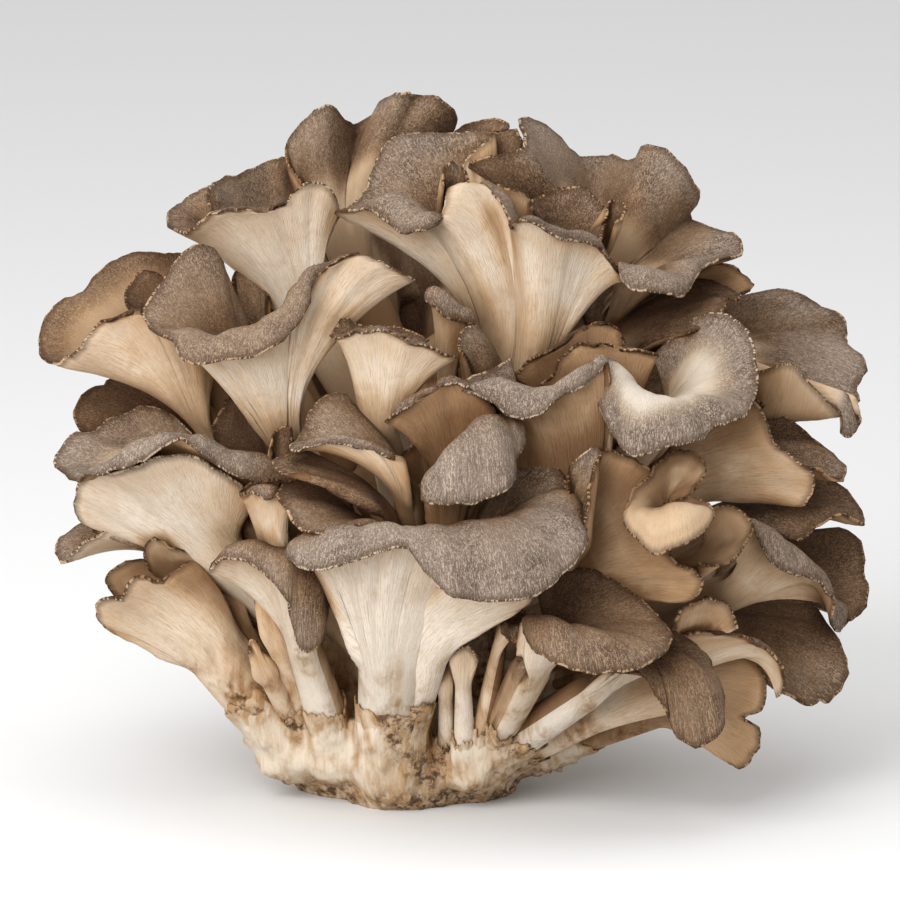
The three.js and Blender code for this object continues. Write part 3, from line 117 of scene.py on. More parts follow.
@dataclass(frozen=True)
class Blade:
    """One frond: a stem that opens into a sheet with a wavy margin.

    The widths are half the stalk's width at its foot and at its neck, and half its thickness at
    the neck. The upper side is dark where pale is 0 and cream where it is 1. The margin runs
    clockwise seen from the upper side. Its points are x, y, z and, where it folds, how high above
    the margin the sheet folds over.
    """

    foot: Sequence[float]
    neck: Sequence[float]
    widths: Sequence[float]
    pale: float
    margin: Sequence[Sequence[float]]

    @property
    def stalk(self) -> tuple[np.ndarray, np.ndarray]:
        """The stalk's foot and its neck."""
        return np.array(self.foot, float), np.array(self.neck, float)

    @property
    def rim(self) -> np.ndarray:
        """The margin's points, with a fold of 0 where none is given."""
        return np.array([(*point, 0)[:4] for point in self.margin], float)

    @property
    def axes(self) -> tuple[np.ndarray, np.ndarray]:
        """Directions along the stalk and across it."""
        foot, neck = self.stalk
        rim = self.rim[:, :3]
        along = unit(neck - foot)
        half = len(rim) // 2
        side = rim[half:].mean(0) - rim[:len(rim) - half].mean(0)
        return along, unit(side - along * (side @ along))


@dataclass(frozen=True)
class Branch:
    """One stalk with the fronds that fork from it, which is one node of the part.

    Painted shade says how much darker and browner its upper side and its underside are painted, as if in
    shade, besides the painted shade their places in the head give. The base's torn skin reaches up to the
    given share of the stalk.
    """

    name: str
    painted_shade: tuple[float, float]
    blades: Sequence[Blade]
    sheath_top: float = 0.42


# The fronds of the front, in the same drawn millimetres as the part's own source.
# Each branch's pair after its name is its painted shade: how much darker its upper side and its underside
# are painted.
FRONT_BRANCHES: tuple[Branch, ...] = (
    Branch("crown_left_funnel", (0.4, 0.1), [
        Blade((-12, -4, 72), (-28, -15, 98), (5, 5, 3), 0.1, [
            (-21.9, -18, 118, 0.2), (-22.2, -18, 120.5, 0.3), (-23.3, -19, 122.7, 0.3),
            (-25, -20, 124.3, 0.3), (-27.3, -21, 125, 0.3), (-29.5, -22, 124.5, 0.4),
            (-31.2, -22, 122.6, 0.5), (-32.6, -23, 120.6, 0.6), (-35, -24, 120, 0.7),
            (-38, -25, 119.8, 0.8), (-42, -26, 119.6, 0.8), (-45, -26, 119.2, 0.8),
            (-47.3, -25, 118.6, 0.8), (-48.5, -24, 117.2, 0.8), (-50.5, -22, 116, 0.8),
            (-52.5, -20, 115.3, 0.7), (-54.3, -17, 115.2, 0.5), (-55.8, -13, 116.8), (-56, -9, 118.8),
            (-54.5, -5, 120.7), (-51.5, -2, 122.8), (-47.5, 0, 124.6), (-44, 1, 125.5)]),
        Blade((-12, -4, 72), (-32, -8, 103), (4, 4, 2.5), 0.1, [
            (-47.5, -19, 119.6), (-48.5, -18, 121.5), (-47.8, -16, 124), (-45.5, -10, 125.8),
            (-42, -4, 126.8), (-38, 2, 129), (-35, 5, 130.2), (-33, 6, 130.5), (-31, 6, 128),
            (-29, 4, 124)])]),
    Branch("crown_tall_frond", (0.45, 0.3), [
        Blade((-6, 2, 78), (-19, 1, 108), (4, 4.5, 3), 0.5, [
            (-29, -2, 124.8), (-31, -1, 127.3), (-32.7, 0, 130), (-32.5, 1, 133.5), (-30.5, 1, 136.2),
            (-28.3, 0, 138), (-27, -2, 139.8), (-24.5, -3, 140.6), (-22.3, -1, 139.9), (-21, 3, 138),
            (-19.8, 7, 137.2), (-17, 8, 138.6), (-14.2, 6, 140.2), (-13, 2, 142), (-10.8, -1, 143.1),
            (-8.5, -2, 143.2), (-6.8, 0, 142.5), (-4, -1, 142.8), (-1, 0, 141.6), (0.6, 2, 139.8),
            (1.1, 4, 138), (0.3, 6, 135.5)])]),
    Branch("crown_centre_funnel", (0.3, 0.15), [
        Blade((2, -8, 64), (10, -20, 84), (7, 8, 4.5), 0.3, [
            (34.5, -29, 104.8, 0.8), (33.3, -30, 107, 1), (31, -31, 110, 1.2), (28, -34, 112.2, 1.2),
            (25, -36, 113, 1.2), (21, -39, 113.8, 1.2), (18, -40, 115.6, 1), (15.8, -41, 116.8, 1),
            (14, -40, 116.6, 0.8), (12.6, -39, 115.2, 0.6), (11.8, -37, 116, 0.6), (11.2, -34, 118.5, 0.8),
            (10, -31, 121, 0.9), (8, -29, 123.3, 0.9), (5.2, -28, 124.2, 0.9), (2, -29, 123.4, 0.9),
            (0, -31, 121.6, 0.9), (-1.5, -34, 119, 0.9), (-2.6, -36, 116.6, 1), (-5, -37, 115.2, 1.5),
            (-8.5, -36, 114.4, 2.2), (-11, -34, 115.6, 3), (-13.5, -31, 118.2, 2.5), (-16, -29, 119.5, 1.5),
            (-19.5, -26, 119.3, 0.8), (-22.5, -23, 119.3), (-20.5, -20, 120.3), (-18.5, -17, 121.3),
            (-16.8, -14, 124), (-15.2, -12, 127.5), (-14.3, -11, 130), (-12.8, -10, 132.8),
            (-10.3, -9, 134.2), (-6, -8, 134.9), (0, -8, 135.1), (5, -8, 135.3), (8.8, -9, 135.1),
            (6.5, -12, 132.6), (3.6, -15, 130), (2, -18, 127)])]),
    Branch("crown_inner_fronds", (0.3, 0.3), [
        Blade((6, -10, 82), (11, -22, 104), (3, 3, 2), 0.5, [
            (16.3, -27, 119.6, 0.4), (15.4, -26, 121.5, 0.4), (13, -26, 123, 0.4), (10.5, -26, 123.8, 0.4),
            (8, -27, 124.2, 0.3), (6, -28, 123)]),
        Blade((6, -10, 82), (20, -17, 104), (3, 4, 2.5), 0.2, [
            (15.5, -24, 120.3), (17.5, -22, 122), (21, -20, 123.4), (25, -19, 124.1), (27.5, -19, 123),
            (29.3, -20, 121), (30.6, -21, 119.2), (30.5, -23, 117), (30, -26, 115), (29, -28, 113)]),
        Blade((6, -10, 82), (1.5, -22, 110), (3, 2.5, 2), 0.4, [
            (-1, -30, 124.3), (-1.4, -30, 126.5), (-0.5, -29, 128), (0.8, -28, 128.4), (2, -28, 127.3),
            (3, -29, 125.5), (3.5, -30, 124)]),
        Blade((6, -10, 82), (26, -18, 108), (3, 2.5, 2), 0.7, [
            (30.6, -24, 117.5), (31.2, -23, 120.8), (33, -22, 121.1), (34.4, -23, 119.8), (34, -24, 118),
            (32.5, -25, 117.2)])]),
    Branch("crown_right_sheet", (0.35, 0.4), [
        Blade((8, -2, 78), (24, -8, 98), (6, 7, 4), 0.45, [
            (4.2, -14, 124.5), (3.8, -16, 127.5), (5, -17, 129.2), (8, -17, 130.1), (12, -17, 130.8),
            (14.3, -16, 132), (14.9, -13, 134.5), (13.5, -9, 136.8), (14.2, -6, 138), (16.5, -4, 138.2),
            (19.5, 0, 136.7), (22.3, 5, 134), (25, 9, 131.9), (28, 12, 131.1), (31, 12, 131.3),
            (33.5, 10, 130.9), (35.2, 6, 129.9), (37, 1, 131.3), (40, -3, 132.4), (43, -4, 131.8),
            (45.5, -4, 129.5), (48.2, -3, 126.3), (49.7, -1, 123.5), (49, 2, 121), (47.8, 3, 119),
            (51, -2, 116.8), (55, -7, 115.2), (57.6, -11, 113.8), (57.6, -14, 112), (55.5, -17, 110, 0.5),
            (52.5, -20, 109, 0.8), (50, -23, 108, 1.2), (48.7, -26, 106.5, 1.8), (47.5, -29, 104, 2.5),
            (45.5, -32, 102.4, 3.5), (42.5, -34, 102.8, 4), (39, -35, 103.2, 4), (36, -35, 103.6, 4),
            (34, -34, 105.2, 3), (33.2, -33, 107, 2)])]),
    Branch("crown_curl", (0.4, 0.4), [
        Blade((4, -4, 96), (5, -5, 120), (3, 3, 2.2), 0.1, [
            (0.5, -4, 129.5), (3, -4, 133), (7, -4, 135), (10, -5, 135.4), (12.4, -6, 135.8),
            (13.6, -8, 134.4), (14, -9, 132), (11, -10, 130)]),
        Blade((4, -4, 96), (4, 0, 120), (3, 3, 2.2), 0.2, [
            (0, 2, 134.5), (2, 2, 136.4), (5, 3, 137.6), (8.8, 3, 138.4), (11.3, 1, 137.3),
            (10.5, -1, 135.8), (8, -2, 135)])]),
    Branch("right_shoulder_fronds", (0.5, 0.5), [
        Blade((20, -3, 76), (42, -8, 98), (4, 4, 2.5), 0.3, [
            (57.5, -10, 103.6), (59.3, -10, 103.7), (60.1, -10, 104.8, 0.3), (59, -9, 106.3, 0.4),
            (56.8, -8, 107.9, 0.4), (54.3, -8, 109.2, 0.4), (51.5, -9, 109.4), (48, -12, 108.5)]),
        Blade((20, -6, 74), (34, -14, 92), (4, 5, 3), 0.1, [
            (36, -8, 108), (42, -8, 108.5), (48, -10, 106.5), (52, -12, 105.2), (55.5, -14, 103.9),
            (57.8, -16, 102.5), (56.3, -18, 101.8, 0.3), (54.5, -20, 102.2, 0.3), (54.2, -22, 100.8, 0.3),
            (53.5, -24, 98.8, 0.3), (51, -26, 97), (47, -27, 95)])]),
    Branch("right_inner_frond", (0.3, 0.5), [
        Blade((16, -6, 60), (30, -12, 82), (4, 5, 3), 0.2, [
            (24, -14, 104), (30, -12, 108), (36, -11, 108), (42, -12, 104), (47, -14, 98), (50, -17, 91),
            (49, -20, 84), (45, -23, 80)])]),
    Branch("right_fan", (0.2, 0.35), [
        Blade((28, -2, 64), (50, -4, 86), (6, 6, 3.5), 0.35, [
            (53, 2, 100), (57, 3, 102.3), (62, 2, 103.7), (67, 0, 103.9), (71, -1, 102.6), (74, -1, 100.6),
            (77, -1, 99.6), (78.8, 0, 98), (79, 1, 95.5), (78.7, 1, 93.8), (80.3, -2, 92.4),
            (82.2, -4, 91.4), (82.7, -5, 89.5), (82.3, -6, 87.2), (81.3, -8, 85.5), (81, -9, 84),
            (81.5, -10, 82.3), (80.5, -12, 80.4), (78.5, -14, 79.6, -0.6), (76, -16, 80.5, -1.8),
            (73, -18, 83.2, -5), (70, -19, 86.5, -8), (67.8, -20, 89, -10), (65, -20, 88.6, -9.4),
            (62, -19, 87.6, -8), (59, -18, 87, -6.5)]),
        Blade((56, -8, 88), (77, -14, 82), (3, 2, 1.4), 0.3, [
            (80.4, -15, 79.4), (81, -15, 77.3), (80.2, -15, 75.4), (78.7, -15, 74.7), (77.5, -15, 75.6)])]),
    Branch("right_spoon", (0, 0.2), [
        Blade((18, -12, 52), (38, -28, 74), (6, 7, 4), 0.64, [
            (40, -24, 90.5), (43, -24, 93.2), (46, -24, 96), (49, -25, 98.1), (53, -27, 98.8),
            (56, -29, 97.6), (58.5, -31, 95.2), (59.9, -33, 92), (60.2, -36, 88), (60, -38, 84.5, 0.5),
            (58.8, -40, 80.5, 1.5), (57.2, -42, 78.2, 2.5), (54, -45, 77.2, 4), (51.7, -46, 76.6, 5),
            (50.8, -47, 75.2, 5.5), (48.5, -49, 74, 6), (45, -50, 73, 7), (41, -51, 72.2, 8),
            (37.5, -51, 70.9, 9.5), (35, -51, 71.2, 10), (33, -50, 73.3, 10), (31.3, -49, 75.8, 9.5),
            (29.8, -48, 79, 8), (28.5, -47, 82.5, 6), (28.4, -46, 85.5, 3.5), (29.8, -44, 88.5, 1)])]),
    Branch("centre_long_lip", (0, 1), [
        Blade((8, -14, 40), (20, -34, 60), (7, 8, 4.5), 0.5, [
            (30.8, -50, 88.9, 0.3), (28.5, -51, 86.8, 2.1), (26.5, -52, 84.8, 3), (24, -53, 83.5, 2.7),
            (22, -53, 82.8, 2.2), (20, -54, 81, 2.9), (18, -54, 79.2, 4.1), (15, -55, 78.4, 4.8),
            (12, -55, 78.7, 5.1), (10.5, -55, 79.8, 4.5), (8, -54, 81.5, 3.5), (5, -52, 83.2, 2.2),
            (2, -50, 84.3, 0.6), (5, -44, 86.5), (9, -40, 88), (12, -38, 90)])]),
    Branch("centre_tongue", (0.3, 0.5), [
        Blade((2, -12, 62), (0, -26, 82), (4, 4, 2.5), 0.1, [
            (5, -34, 96.6, 1.5), (3, -36, 97.2, 2.5), (0, -37, 97.8, 3.4), (-2, -38, 99, 3),
            (-3.6, -38, 100.5, 2.2), (-4.7, -36, 102, 1), (-3.8, -32, 103.2), (-1.5, -30, 102.8),
            (1.5, -28, 101), (4, -27, 98.7)]),
        Blade((2, -12, 62), (8, -31, 80), (4, 4, 2.5), 0.6, [
            (2.8, -42, 90.6), (1.6, -42, 92.3), (1.4, -41, 94), (2.6, -40, 95.5), (4.8, -39, 96.2),
            (6.3, -37, 95.6), (7.8, -35, 93.3), (8.7, -33, 90.5), (9.8, -31, 87.5)])]),
    Branch("right_centre_rims", (0.4, 0.4), [
        Blade((14, -10, 56), (23, -24, 76), (5, 6, 3.5), 0.5, [
            (34.6, -30, 92.8, 0.6), (33.6, -29, 95, 0.7), (31, -29, 96.8, 0.7), (28, -30, 97, 0.7),
            (24.5, -32, 95.3, 0.7), (20, -35, 91.9, 0.7), (15, -37, 88.7, 0.7), (11, -38, 86.3, 0.4)]),
        Blade((14, -10, 56), (27, -30, 72), (5, 6, 3.5), 0.5, [
            (41.2, -38, 90.3, 0.5), (38, -39, 90.9, 0.7), (34, -39, 91.8, 0.7), (31, -40, 92.7, 0.7),
            (28, -41, 92.8, 0.7), (25, -41, 92, 0.7), (22, -42, 89.4, 0.7), (19.5, -42, 86.5, 0.7),
            (17, -42, 84.3, 0.4)])]),
    Branch("centre_wing", (0.2, 1), [
        Blade((3, -16, 46), (2, -40, 66), (4, 5, 3), 0.3, [
            (9, -50, 79.5), (6.5, -51, 82, 0.5), (3.5, -51, 84, 0.8), (1, -51, 85, 1.1),
            (-1.5, -51, 84.6, 1.2), (-4, -52, 83.2, 1.2), (-7, -53, 81.2, 1.3), (-10, -53, 79.2, 1.2),
            (-12.8, -52, 77.4, 0.3)]),
        Blade((3, -16, 46), (-2, -34, 61), (3, 3, 2.2), 0.2, [
            (1, -41, 70.5), (-1, -41, 72), (-3.5, -42, 72.9), (-5.3, -43, 74.6), (-6.3, -43, 74.9),
            (-7.8, -43, 72.9), (-9.8, -43, 70.2)])]),
    Branch("centre_small_cap", (0, 0.5), [
        Blade((-2, -20, 38), (-0.5, -44, 56), (4, 3.4, 3.4), 0.4, [
            (12, -47, 78), (14, -49, 76.5, 1), (14.4, -51, 73.6, 3.5), (12.7, -53, 70.8, 7),
            (12.3, -55, 68, 10), (11, -58, 65, 12.5), (8, -60, 62.8, 14), (4, -61, 61.6, 12.6),
            (0, -61, 61.3, 9.7), (-3.2, -59, 61.7, 6.2), (-5.2, -56, 62.6, 3.2), (-5.4, -53, 65.3, 0.5),
            (-3, -48, 67), (1, -45, 70), (6, -44, 74)])]),
    Branch("centre_small_funnel", (0.2, 0.1), [
        Blade((-6, -14, 50), (-13, -40, 76), (5, 4, 3.5), 0.1, [
            (1.8, -48, 90, 0.3), (-0.5, -50, 90.6, 0.7), (-3.5, -52, 91.8, 0.8), (-7, -53, 93.3, 0.8),
            (-10.5, -53, 94.9, 0.8), (-14, -53, 95.5, 0.8), (-17.5, -52, 95, 0.8), (-20.5, -50, 94.6, 0.8),
            (-23, -48, 94.6, 0.5), (-22.3, -45, 96.6), (-20.3, -43, 97.6), (-18, -42, 96.3),
            (-10, -41, 95.8), (-4, -41, 93.5)])]),
    Branch("left_big_funnel", (0.6, 0.15), [
        Blade((-16, -12, 48), (-31.5, -33, 73), (5, 4, 3.5), 0.15, [
            (-6.6, -40, 105.3, 0.3), (-9, -42, 106.3, 0.8), (-12, -43, 108, 0.7), (-15, -44, 109.4, 0.6),
            (-18, -44, 110, 0.6), (-21, -45, 109.6, 0.6), (-24, -46, 107.8, 0.8), (-26, -47, 105.6, 1.5),
            (-27, -48, 103.3, 2.2), (-27.6, -49, 101, 3), (-29, -50, 97.8, 4.2), (-32, -51, 94, 5),
            (-36, -52, 91.3, 5.5), (-40, -52, 90, 5.2), (-45, -52, 89.3, 5.2), (-49.5, -51, 89, 4.5),
            (-52, -49, 89.8, 3.5), (-53, -48, 91.8, 2.5), (-54, -46, 93.4, 1.5), (-57, -44, 94.3, 0.8),
            (-59, -42, 96.7), (-59.9, -40, 99.3), (-57.5, -37, 103.6), (-54.5, -34, 108.2),
            (-52.3, -32, 111), (-50, -30, 112), (-47.5, -28, 111.6), (-45.3, -27, 109.5), (-43.8, -27, 106),
            (-42, -27, 102), (-40, -27, 98)]),
        Blade((-16, -12, 48), (-31.5, -36, 67), (4, 2.5, 2), 0.7, [
            (-34.8, -42, 71), (-34.3, -43, 73.8), (-32.7, -43, 76.2), (-31.2, -43, 76.3),
            (-30.3, -42, 73.8), (-30, -41, 72)])]),
    Branch("left_far_funnel", (1, 0.25), [
        Blade((-26, -8, 52), (-46.5, -21, 76), (5, 4.5, 3.5), 0.68, [
            (-46, -28, 88), (-49.5, -31, 91, 0.3), (-53, -32, 93.5, 0.5), (-57, -33, 96.3, 0.7),
            (-60.5, -33, 98.5, 0.8), (-62.5, -33, 99.4, 0.8), (-65, -33, 98.4, 0.8), (-69, -32, 96, 0.8),
            (-71.5, -31, 94.2, 0.6), (-73, -30, 92.6, 0.3), (-74.5, -28, 91.2), (-76.5, -26, 89.4),
            (-78.5, -23, 88.8), (-80.5, -20, 90.2), (-81.7, -17, 93), (-81.2, -15, 96), (-79.5, -13, 99.2),
            (-77.5, -12, 101.2, 0.4), (-74.5, -11, 102.8, 0.6), (-72.3, -10, 104.4, 0.5),
            (-70.5, -9, 106.8, 0.3), (-67.5, -7, 109.2), (-64, -5, 110.9), (-59, -4, 111), (-54, -5, 111.2),
            (-51, -7, 110)]),
        Blade((-26, -8, 52), (-52, -24, 92), (4, 4, 3), 0, [
            (-60.5, -30, 98.9), (-63, -30, 100.2), (-64.1, -28, 102.5), (-63, -26, 105.2),
            (-61.3, -25, 107), (-59, -25, 107.4), (-56.5, -25, 106), (-55, -25, 103)])]),
    Branch("left_gap_leaf", (0.7, 0.7), [
        Blade((-20, -6, 66), (-37, -16, 92), (3, 3, 2.2), 0.3, [
            (-42.6, -18, 103), (-43, -17, 105.5), (-42.2, -15, 108.3), (-40.5, -14, 110.2),
            (-38.8, -15, 109), (-37, -17, 105), (-36, -18, 102)]),
        Blade((-20, -6, 66), (-34, -10, 90), (3, 4, 2.5), 0.2, [
            (-39, -12, 104), (-37, -10, 108), (-33, -9, 110), (-29, -9, 108), (-27, -10, 104)])]),
    Branch("left_dark_fronds", (0.7, 0.7), [
        Blade((-24, -4, 52), (-46, -8, 73), (4, 5, 3), 0.2, [
            (-71, -14, 75.3), (-73.3, -14, 75.8), (-74.6, -12, 78.8), (-73.8, -10, 81.8), (-71.3, -8, 84.2),
            (-69.3, -8, 84.7), (-67.5, -7, 86.3), (-64.5, -7, 86.8), (-61, -6, 86.3), (-56, -8, 85.2),
            (-50, -10, 84)]),
        Blade((-24, -8, 50), (-37, -22, 66), (3, 4, 2.5), 0, [
            (-43, -30, 70.5), (-45.8, -30, 72.3), (-46.4, -30, 75.3), (-45.5, -29, 78.2),
            (-43.5, -28, 81.5), (-41, -26, 84), (-38, -24, 85)])]),
    Branch("left_wave_frond", (0, 0.4), [
        Blade((-24, -12, 42), (-42, -26, 58), (5, 6, 3.5), 0.6, [
            (-30, -40, 66.5, 2.5), (-32.5, -41, 65.4, 4), (-36, -43, 65.2, 5.3), (-40, -45, 66.5, 4.4),
            (-43, -46, 67.9, 3.5), (-46, -46, 69.5, 3), (-49, -47, 71.6, 2.3), (-51, -47, 73.7, 1),
            (-53, -47, 74.1, 1.2), (-56.5, -47, 72.5, 2.8), (-59.5, -46, 70.3, 4.7), (-62, -46, 69, 4.8),
            (-66, -44, 67.8, 4), (-70, -41, 67.2, 2.5), (-72, -39, 66.3, 1.5), (-73.3, -37, 65.7, 1),
            (-75.6, -34, 66.4, 0.5), (-77.2, -31, 68.2), (-77.6, -29, 70.3), (-76.6, -27, 72.6),
            (-74.5, -25, 74.8), (-71, -23, 75.2), (-69.3, -22, 76.6), (-67, -21, 78.5), (-63, -20, 80),
            (-60, -19, 80.4), (-57, -20, 79.8), (-54, -21, 78), (-51, -23, 75.3)])]),
    Branch("left_pale_fan", (0.1, 0), [
        Blade((-24, -14, 34), (-44, -27, 50), (6, 6, 4), 0.3, [
            (-37, -38, 62), (-43, -41, 66.5), (-50, -43, 70.5), (-56, -43, 71), (-62, -42, 69),
            (-67, -40, 67.6), (-70.5, -38, 67.4), (-72.3, -36, 65.8), (-73.6, -34, 63), (-73.7, -33, 60),
            (-72.6, -32, 57.8), (-70.3, -31, 56.4), (-69, -31, 56.1)]),
        Blade((-24, -14, 34), (-54, -22, 52), (5, 3.5, 3), 0.1, [
            (-60, -30, 57.3), (-65, -31, 57.2), (-68.5, -31, 56.2, 0.3), (-71, -31, 54.5, 0.6),
            (-73, -30, 52.3, 1), (-74.3, -29, 50.6, 1.2), (-76, -27, 50.2, 0.8), (-77.6, -24, 51.6),
            (-77.2, -21, 53.8), (-75.3, -19, 56), (-72.5, -18, 57.8), (-69, -18, 59), (-64, -18, 59.5)])]),
    Branch("left_low_funnel", (0.55, 0.55), [
        Blade((-30, -14, 14), (-45, -24, 31), (7, 6.5, 5), 0.9, [
            (-50.8, -29, 51.6, 0.2), (-51.5, -31, 50.2, 0.3), (-53, -33, 48.8, 0.4), (-55, -35, 47.5, 0.4),
            (-57.2, -37, 46.5, 0.4), (-59.5, -38, 47, 0.4), (-61.5, -38, 46.8, 0.4), (-63.6, -37, 45, 0.4),
            (-65.3, -36, 43.3, 0.4), (-67.8, -34, 42.7, 0.3), (-69.4, -31, 41.2), (-69.7, -29, 39.2),
            (-68.6, -28, 37.2), (-66, -27, 35.9), (-62, -26, 35.4)]),
        Blade((-30, -12, 18), (-51, -22, 40), (5, 4, 3), 1, [
            (-64, -28, 42.5), (-66.6, -28, 44), (-67.5, -27, 46.5), (-66.3, -26, 48.9), (-63.5, -25, 50),
            (-60, -24, 50.2), (-57, -24, 49)]),
        Blade((-30, -12, 18), (-49, -25, 43), (5, 3.5, 3), 1, [
            (-59.4, -32, 48.5), (-60, -33, 51), (-59.6, -34, 53.5), (-58.2, -34.5, 55.1),
            (-56.6, -34.5, 54.4), (-55.2, -34, 52.8), (-53.5, -33, 51.9), (-51.5, -31.5, 52.2),
            (-50, -30, 51.4)])], 0.66),
    Branch("left_drooping_cap", (0.35, 0), [
        Blade((-22, -20, 12), (-28.5, -34, 33), (4.5, 3.8, 3.4), 0.1, [
            (-22.5, -38, 48, 2), (-23.8, -43, 41, 7), (-25.3, -47, 35.3, 13), (-27, -49, 33, 16),
            (-28.7, -50, 32.9, 17), (-30, -50, 35, 15.5), (-30.9, -50, 38.5, 12.5), (-31.5, -50, 42, 9.5),
            (-33.5, -50, 45, 7.2), (-36, -49, 47.6, 5.2), (-38.5, -48, 49.6, 3.5), (-41, -47, 50.6, 2.8),
            (-44, -45, 50.6, 2), (-46, -43, 49.5, 1), (-46.8, -40, 49), (-45.5, -36, 50.8), (-42, -33, 52),
            (-36, -31, 52.5), (-30, -31, 52)])], 0.48),
    Branch("left_low_stems", (0.5, 0.5), [
        Blade((-28, -16, 14), (-33, -31, 31), (4, 2.2, 2), 0.5, [
            (-35.5, -34, 41), (-36.8, -35, 44), (-37.8, -35, 45), (-38.2, -35, 43), (-37.6, -34, 40)]),
        Blade((-28, -16, 14), (-40, -22, 34), (3, 2.5, 2), 0.5, [
            (-42, -24, 46), (-44, -25, 48.5), (-46.5, -25, 50), (-49, -25, 50), (-49.5, -24, 47)]),
        Blade((-28, -16, 14), (-35, -30, 26), (3, 2, 1.8), 0.5, [
            (-36.3, -32, 31.3), (-37.8, -33, 33.7), (-39.2, -33, 34.6), (-39.4, -33, 32.4),
            (-38.6, -32, 30)])], 0.55),
    Branch("front_big_cap", (0, 0), [
        Blade((-12, -22, 10), (-11, -37, 29), (6.5, 7, 6), 0.3, [
            (6, -41, 61), (11, -41, 66), (14.5, -41, 68.8), (18, -42, 69.7), (20.8, -43, 68.6),
            (22.6, -45, 65.8), (22.6, -46, 64, 0.5), (24.8, -48, 63, 1), (26.3, -51, 60.3, 2.5),
            (26.7, -54, 57, 4), (26, -57, 53.5, 6), (24, -59, 50.3, 8.5), (21.5, -62, 47.6, 10.5),
            (18, -64, 44.8, 12.5), (14, -66, 43.3, 13.5), (9, -67, 43, 13.5), (4, -67, 43.1, 13),
            (0, -67, 44, 12), (-3, -66, 46.5, 9.5), (-6, -65, 50, 6.3), (-8.7, -63, 53.3, 3),
            (-12, -62, 52.3, 4), (-16, -61, 51.2, 5), (-20, -61, 50.1, 6.2), (-24, -60, 48.7, 7.5),
            (-27.5, -58, 48.7, 7.2), (-30, -56, 49.9, 5), (-31.8, -52, 52, 2), (-30.5, -48, 54.3),
            (-27, -44, 55.8), (-20, -41, 55.5), (-12, -40, 55)]),
        Blade((-12, -22, 10), (-5.5, -39, 31), (5, 5, 4), 0.3, [
            (13, -54, 40.7), (15, -56, 41.5), (15.5, -58, 43), (14.5, -59, 45), (10, -60, 46.5),
            (5, -58, 48.5), (0, -50, 50)])], 0.7),
    Branch("left_centre_triangle", (0.25, 0.3), [
        Blade((-4, -22, 42), (-8, -46, 62), (4, 3.5, 3), 0, [
            (-9, -54, 70.4, 0.7), (-12, -55, 70.8, 0.8), (-15.5, -55, 71.8, 0.9), (-19, -56, 72.7, 1),
            (-22, -56, 73.3, 1.1), (-25, -56, 73.2, 1.4), (-27.5, -55, 72.5, 1.6), (-29.5, -54, 71.7, 1.4),
            (-31.2, -53, 71.6, 0.5), (-29.5, -48, 74.2), (-28.5, -46, 76.7), (-27.3, -44, 79.3),
            (-25, -42, 81.6), (-22, -40, 82.9), (-20, -40, 81.7), (-17.5, -41, 77.5), (-14, -43, 72)]),
        Blade((-8, -22, 38), (-12.5, -45, 58), (4, 2.6, 2.6), 0.3, [
            (-26, -53, 66.2), (-29, -54, 66.6), (-32, -54, 67.2), (-34.4, -52, 68.8), (-33.4, -50, 70.4),
            (-30.5, -48, 71.3), (-27.5, -47, 71.7)])]),
    Branch("left_centre_oval", (0.4, 0.6), [
        Blade((-10, -22, 34), (-15, -42, 53), (4, 4, 3), 0.2, [
            (-13, -56, 56.4, 0.8), (-16, -57, 57, 1), (-18.5, -57, 57.4, 1), (-21, -57, 57, 1),
            (-24, -58, 56.3, 1), (-27.5, -58, 56.5, 1), (-30.2, -57, 57.7, 1), (-32.3, -55, 60.2, 0.6),
            (-33.6, -53, 63), (-32.3, -50, 65.2), (-29, -48, 66.4), (-25, -47, 66.8), (-20, -46, 66)])]),
    Branch("left_centre_pale_lobe", (0.3, 0.1), [
        Blade((-14, -20, 32), (-31, -38, 48), (5, 4, 3.5), 0.1, [
            (-31, -49, 61, 0.3), (-33.5, -50, 62.8, 1.2), (-35.5, -51, 62.6, 1.5), (-37.5, -50, 63.2, 1.5),
            (-39.3, -49, 64.2, 0.8), (-40.6, -46, 63.5), (-39.5, -44, 65.4), (-36, -43, 66),
            (-33, -43, 66)])]),
    Branch("right_dark_cup", (0.7, 0.2), [
        Blade((7, -23, 11), (15.5, -42, 28.5), (3.2, 5.2, 4), 0.2, [
            (17, -44, 44), (19, -43, 47), (22, -42, 48.6), (25.5, -42, 48.8), (29, -42, 47.9),
            (33, -43, 45.9), (37, -46, 42.9), (40, -48, 40), (42, -50, 37.8, 0.3), (43, -53, 35.3, 0.8),
            (42, -56, 33, 2), (39.5, -58, 31.2, 3.5), (36, -61, 29.8, 5.2), (32, -62, 29.1, 6.8),
            (28, -63, 29, 7.5), (24, -63, 29.7, 7.8), (20.5, -62, 30.8, 7.6), (17.5, -60, 32.4, 6.6),
            (15.5, -57, 34.6, 4.4), (14.5, -54, 37, 1.8), (15.5, -51, 39), (17.5, -49, 39.5)])]),
    Branch("front_small_stems", (0.4, 0.3), [
        Blade((5, -24, 9), (9, -40, 30), (2.6, 1.8, 1.7), 0.1, [
            (14.8, -50, 36.4, 1.2), (13, -51, 35, 2), (11.3, -51, 35.4, 2.2), (10.3, -50, 37.3, 1.2),
            (10.2, -47, 39.5), (12.5, -44, 40.8), (15.5, -44, 40.3)]),
        Blade((3, -24, 9), (2.6, -38, 25), (2.4, 1.6, 1.5), 0.3, [
            (5.5, -42, 30.7), (5, -43, 32.6, 0.4), (3.5, -43, 33.9, 0.4), (1.5, -43, 33.5, 0.4),
            (0, -42, 32), (-0.3, -41, 30)]),
        Blade((0, -20, 9), (-0.8, -34, 23), (2.4, 1.5, 1.4), 0.3, [
            (1, -37, 28.5), (0.5, -37, 30.3), (-1, -37, 31), (-2.2, -37, 30), (-2.3, -36, 28)])]),
    Branch("right_drooping_cap", (0.85, 0.1), [
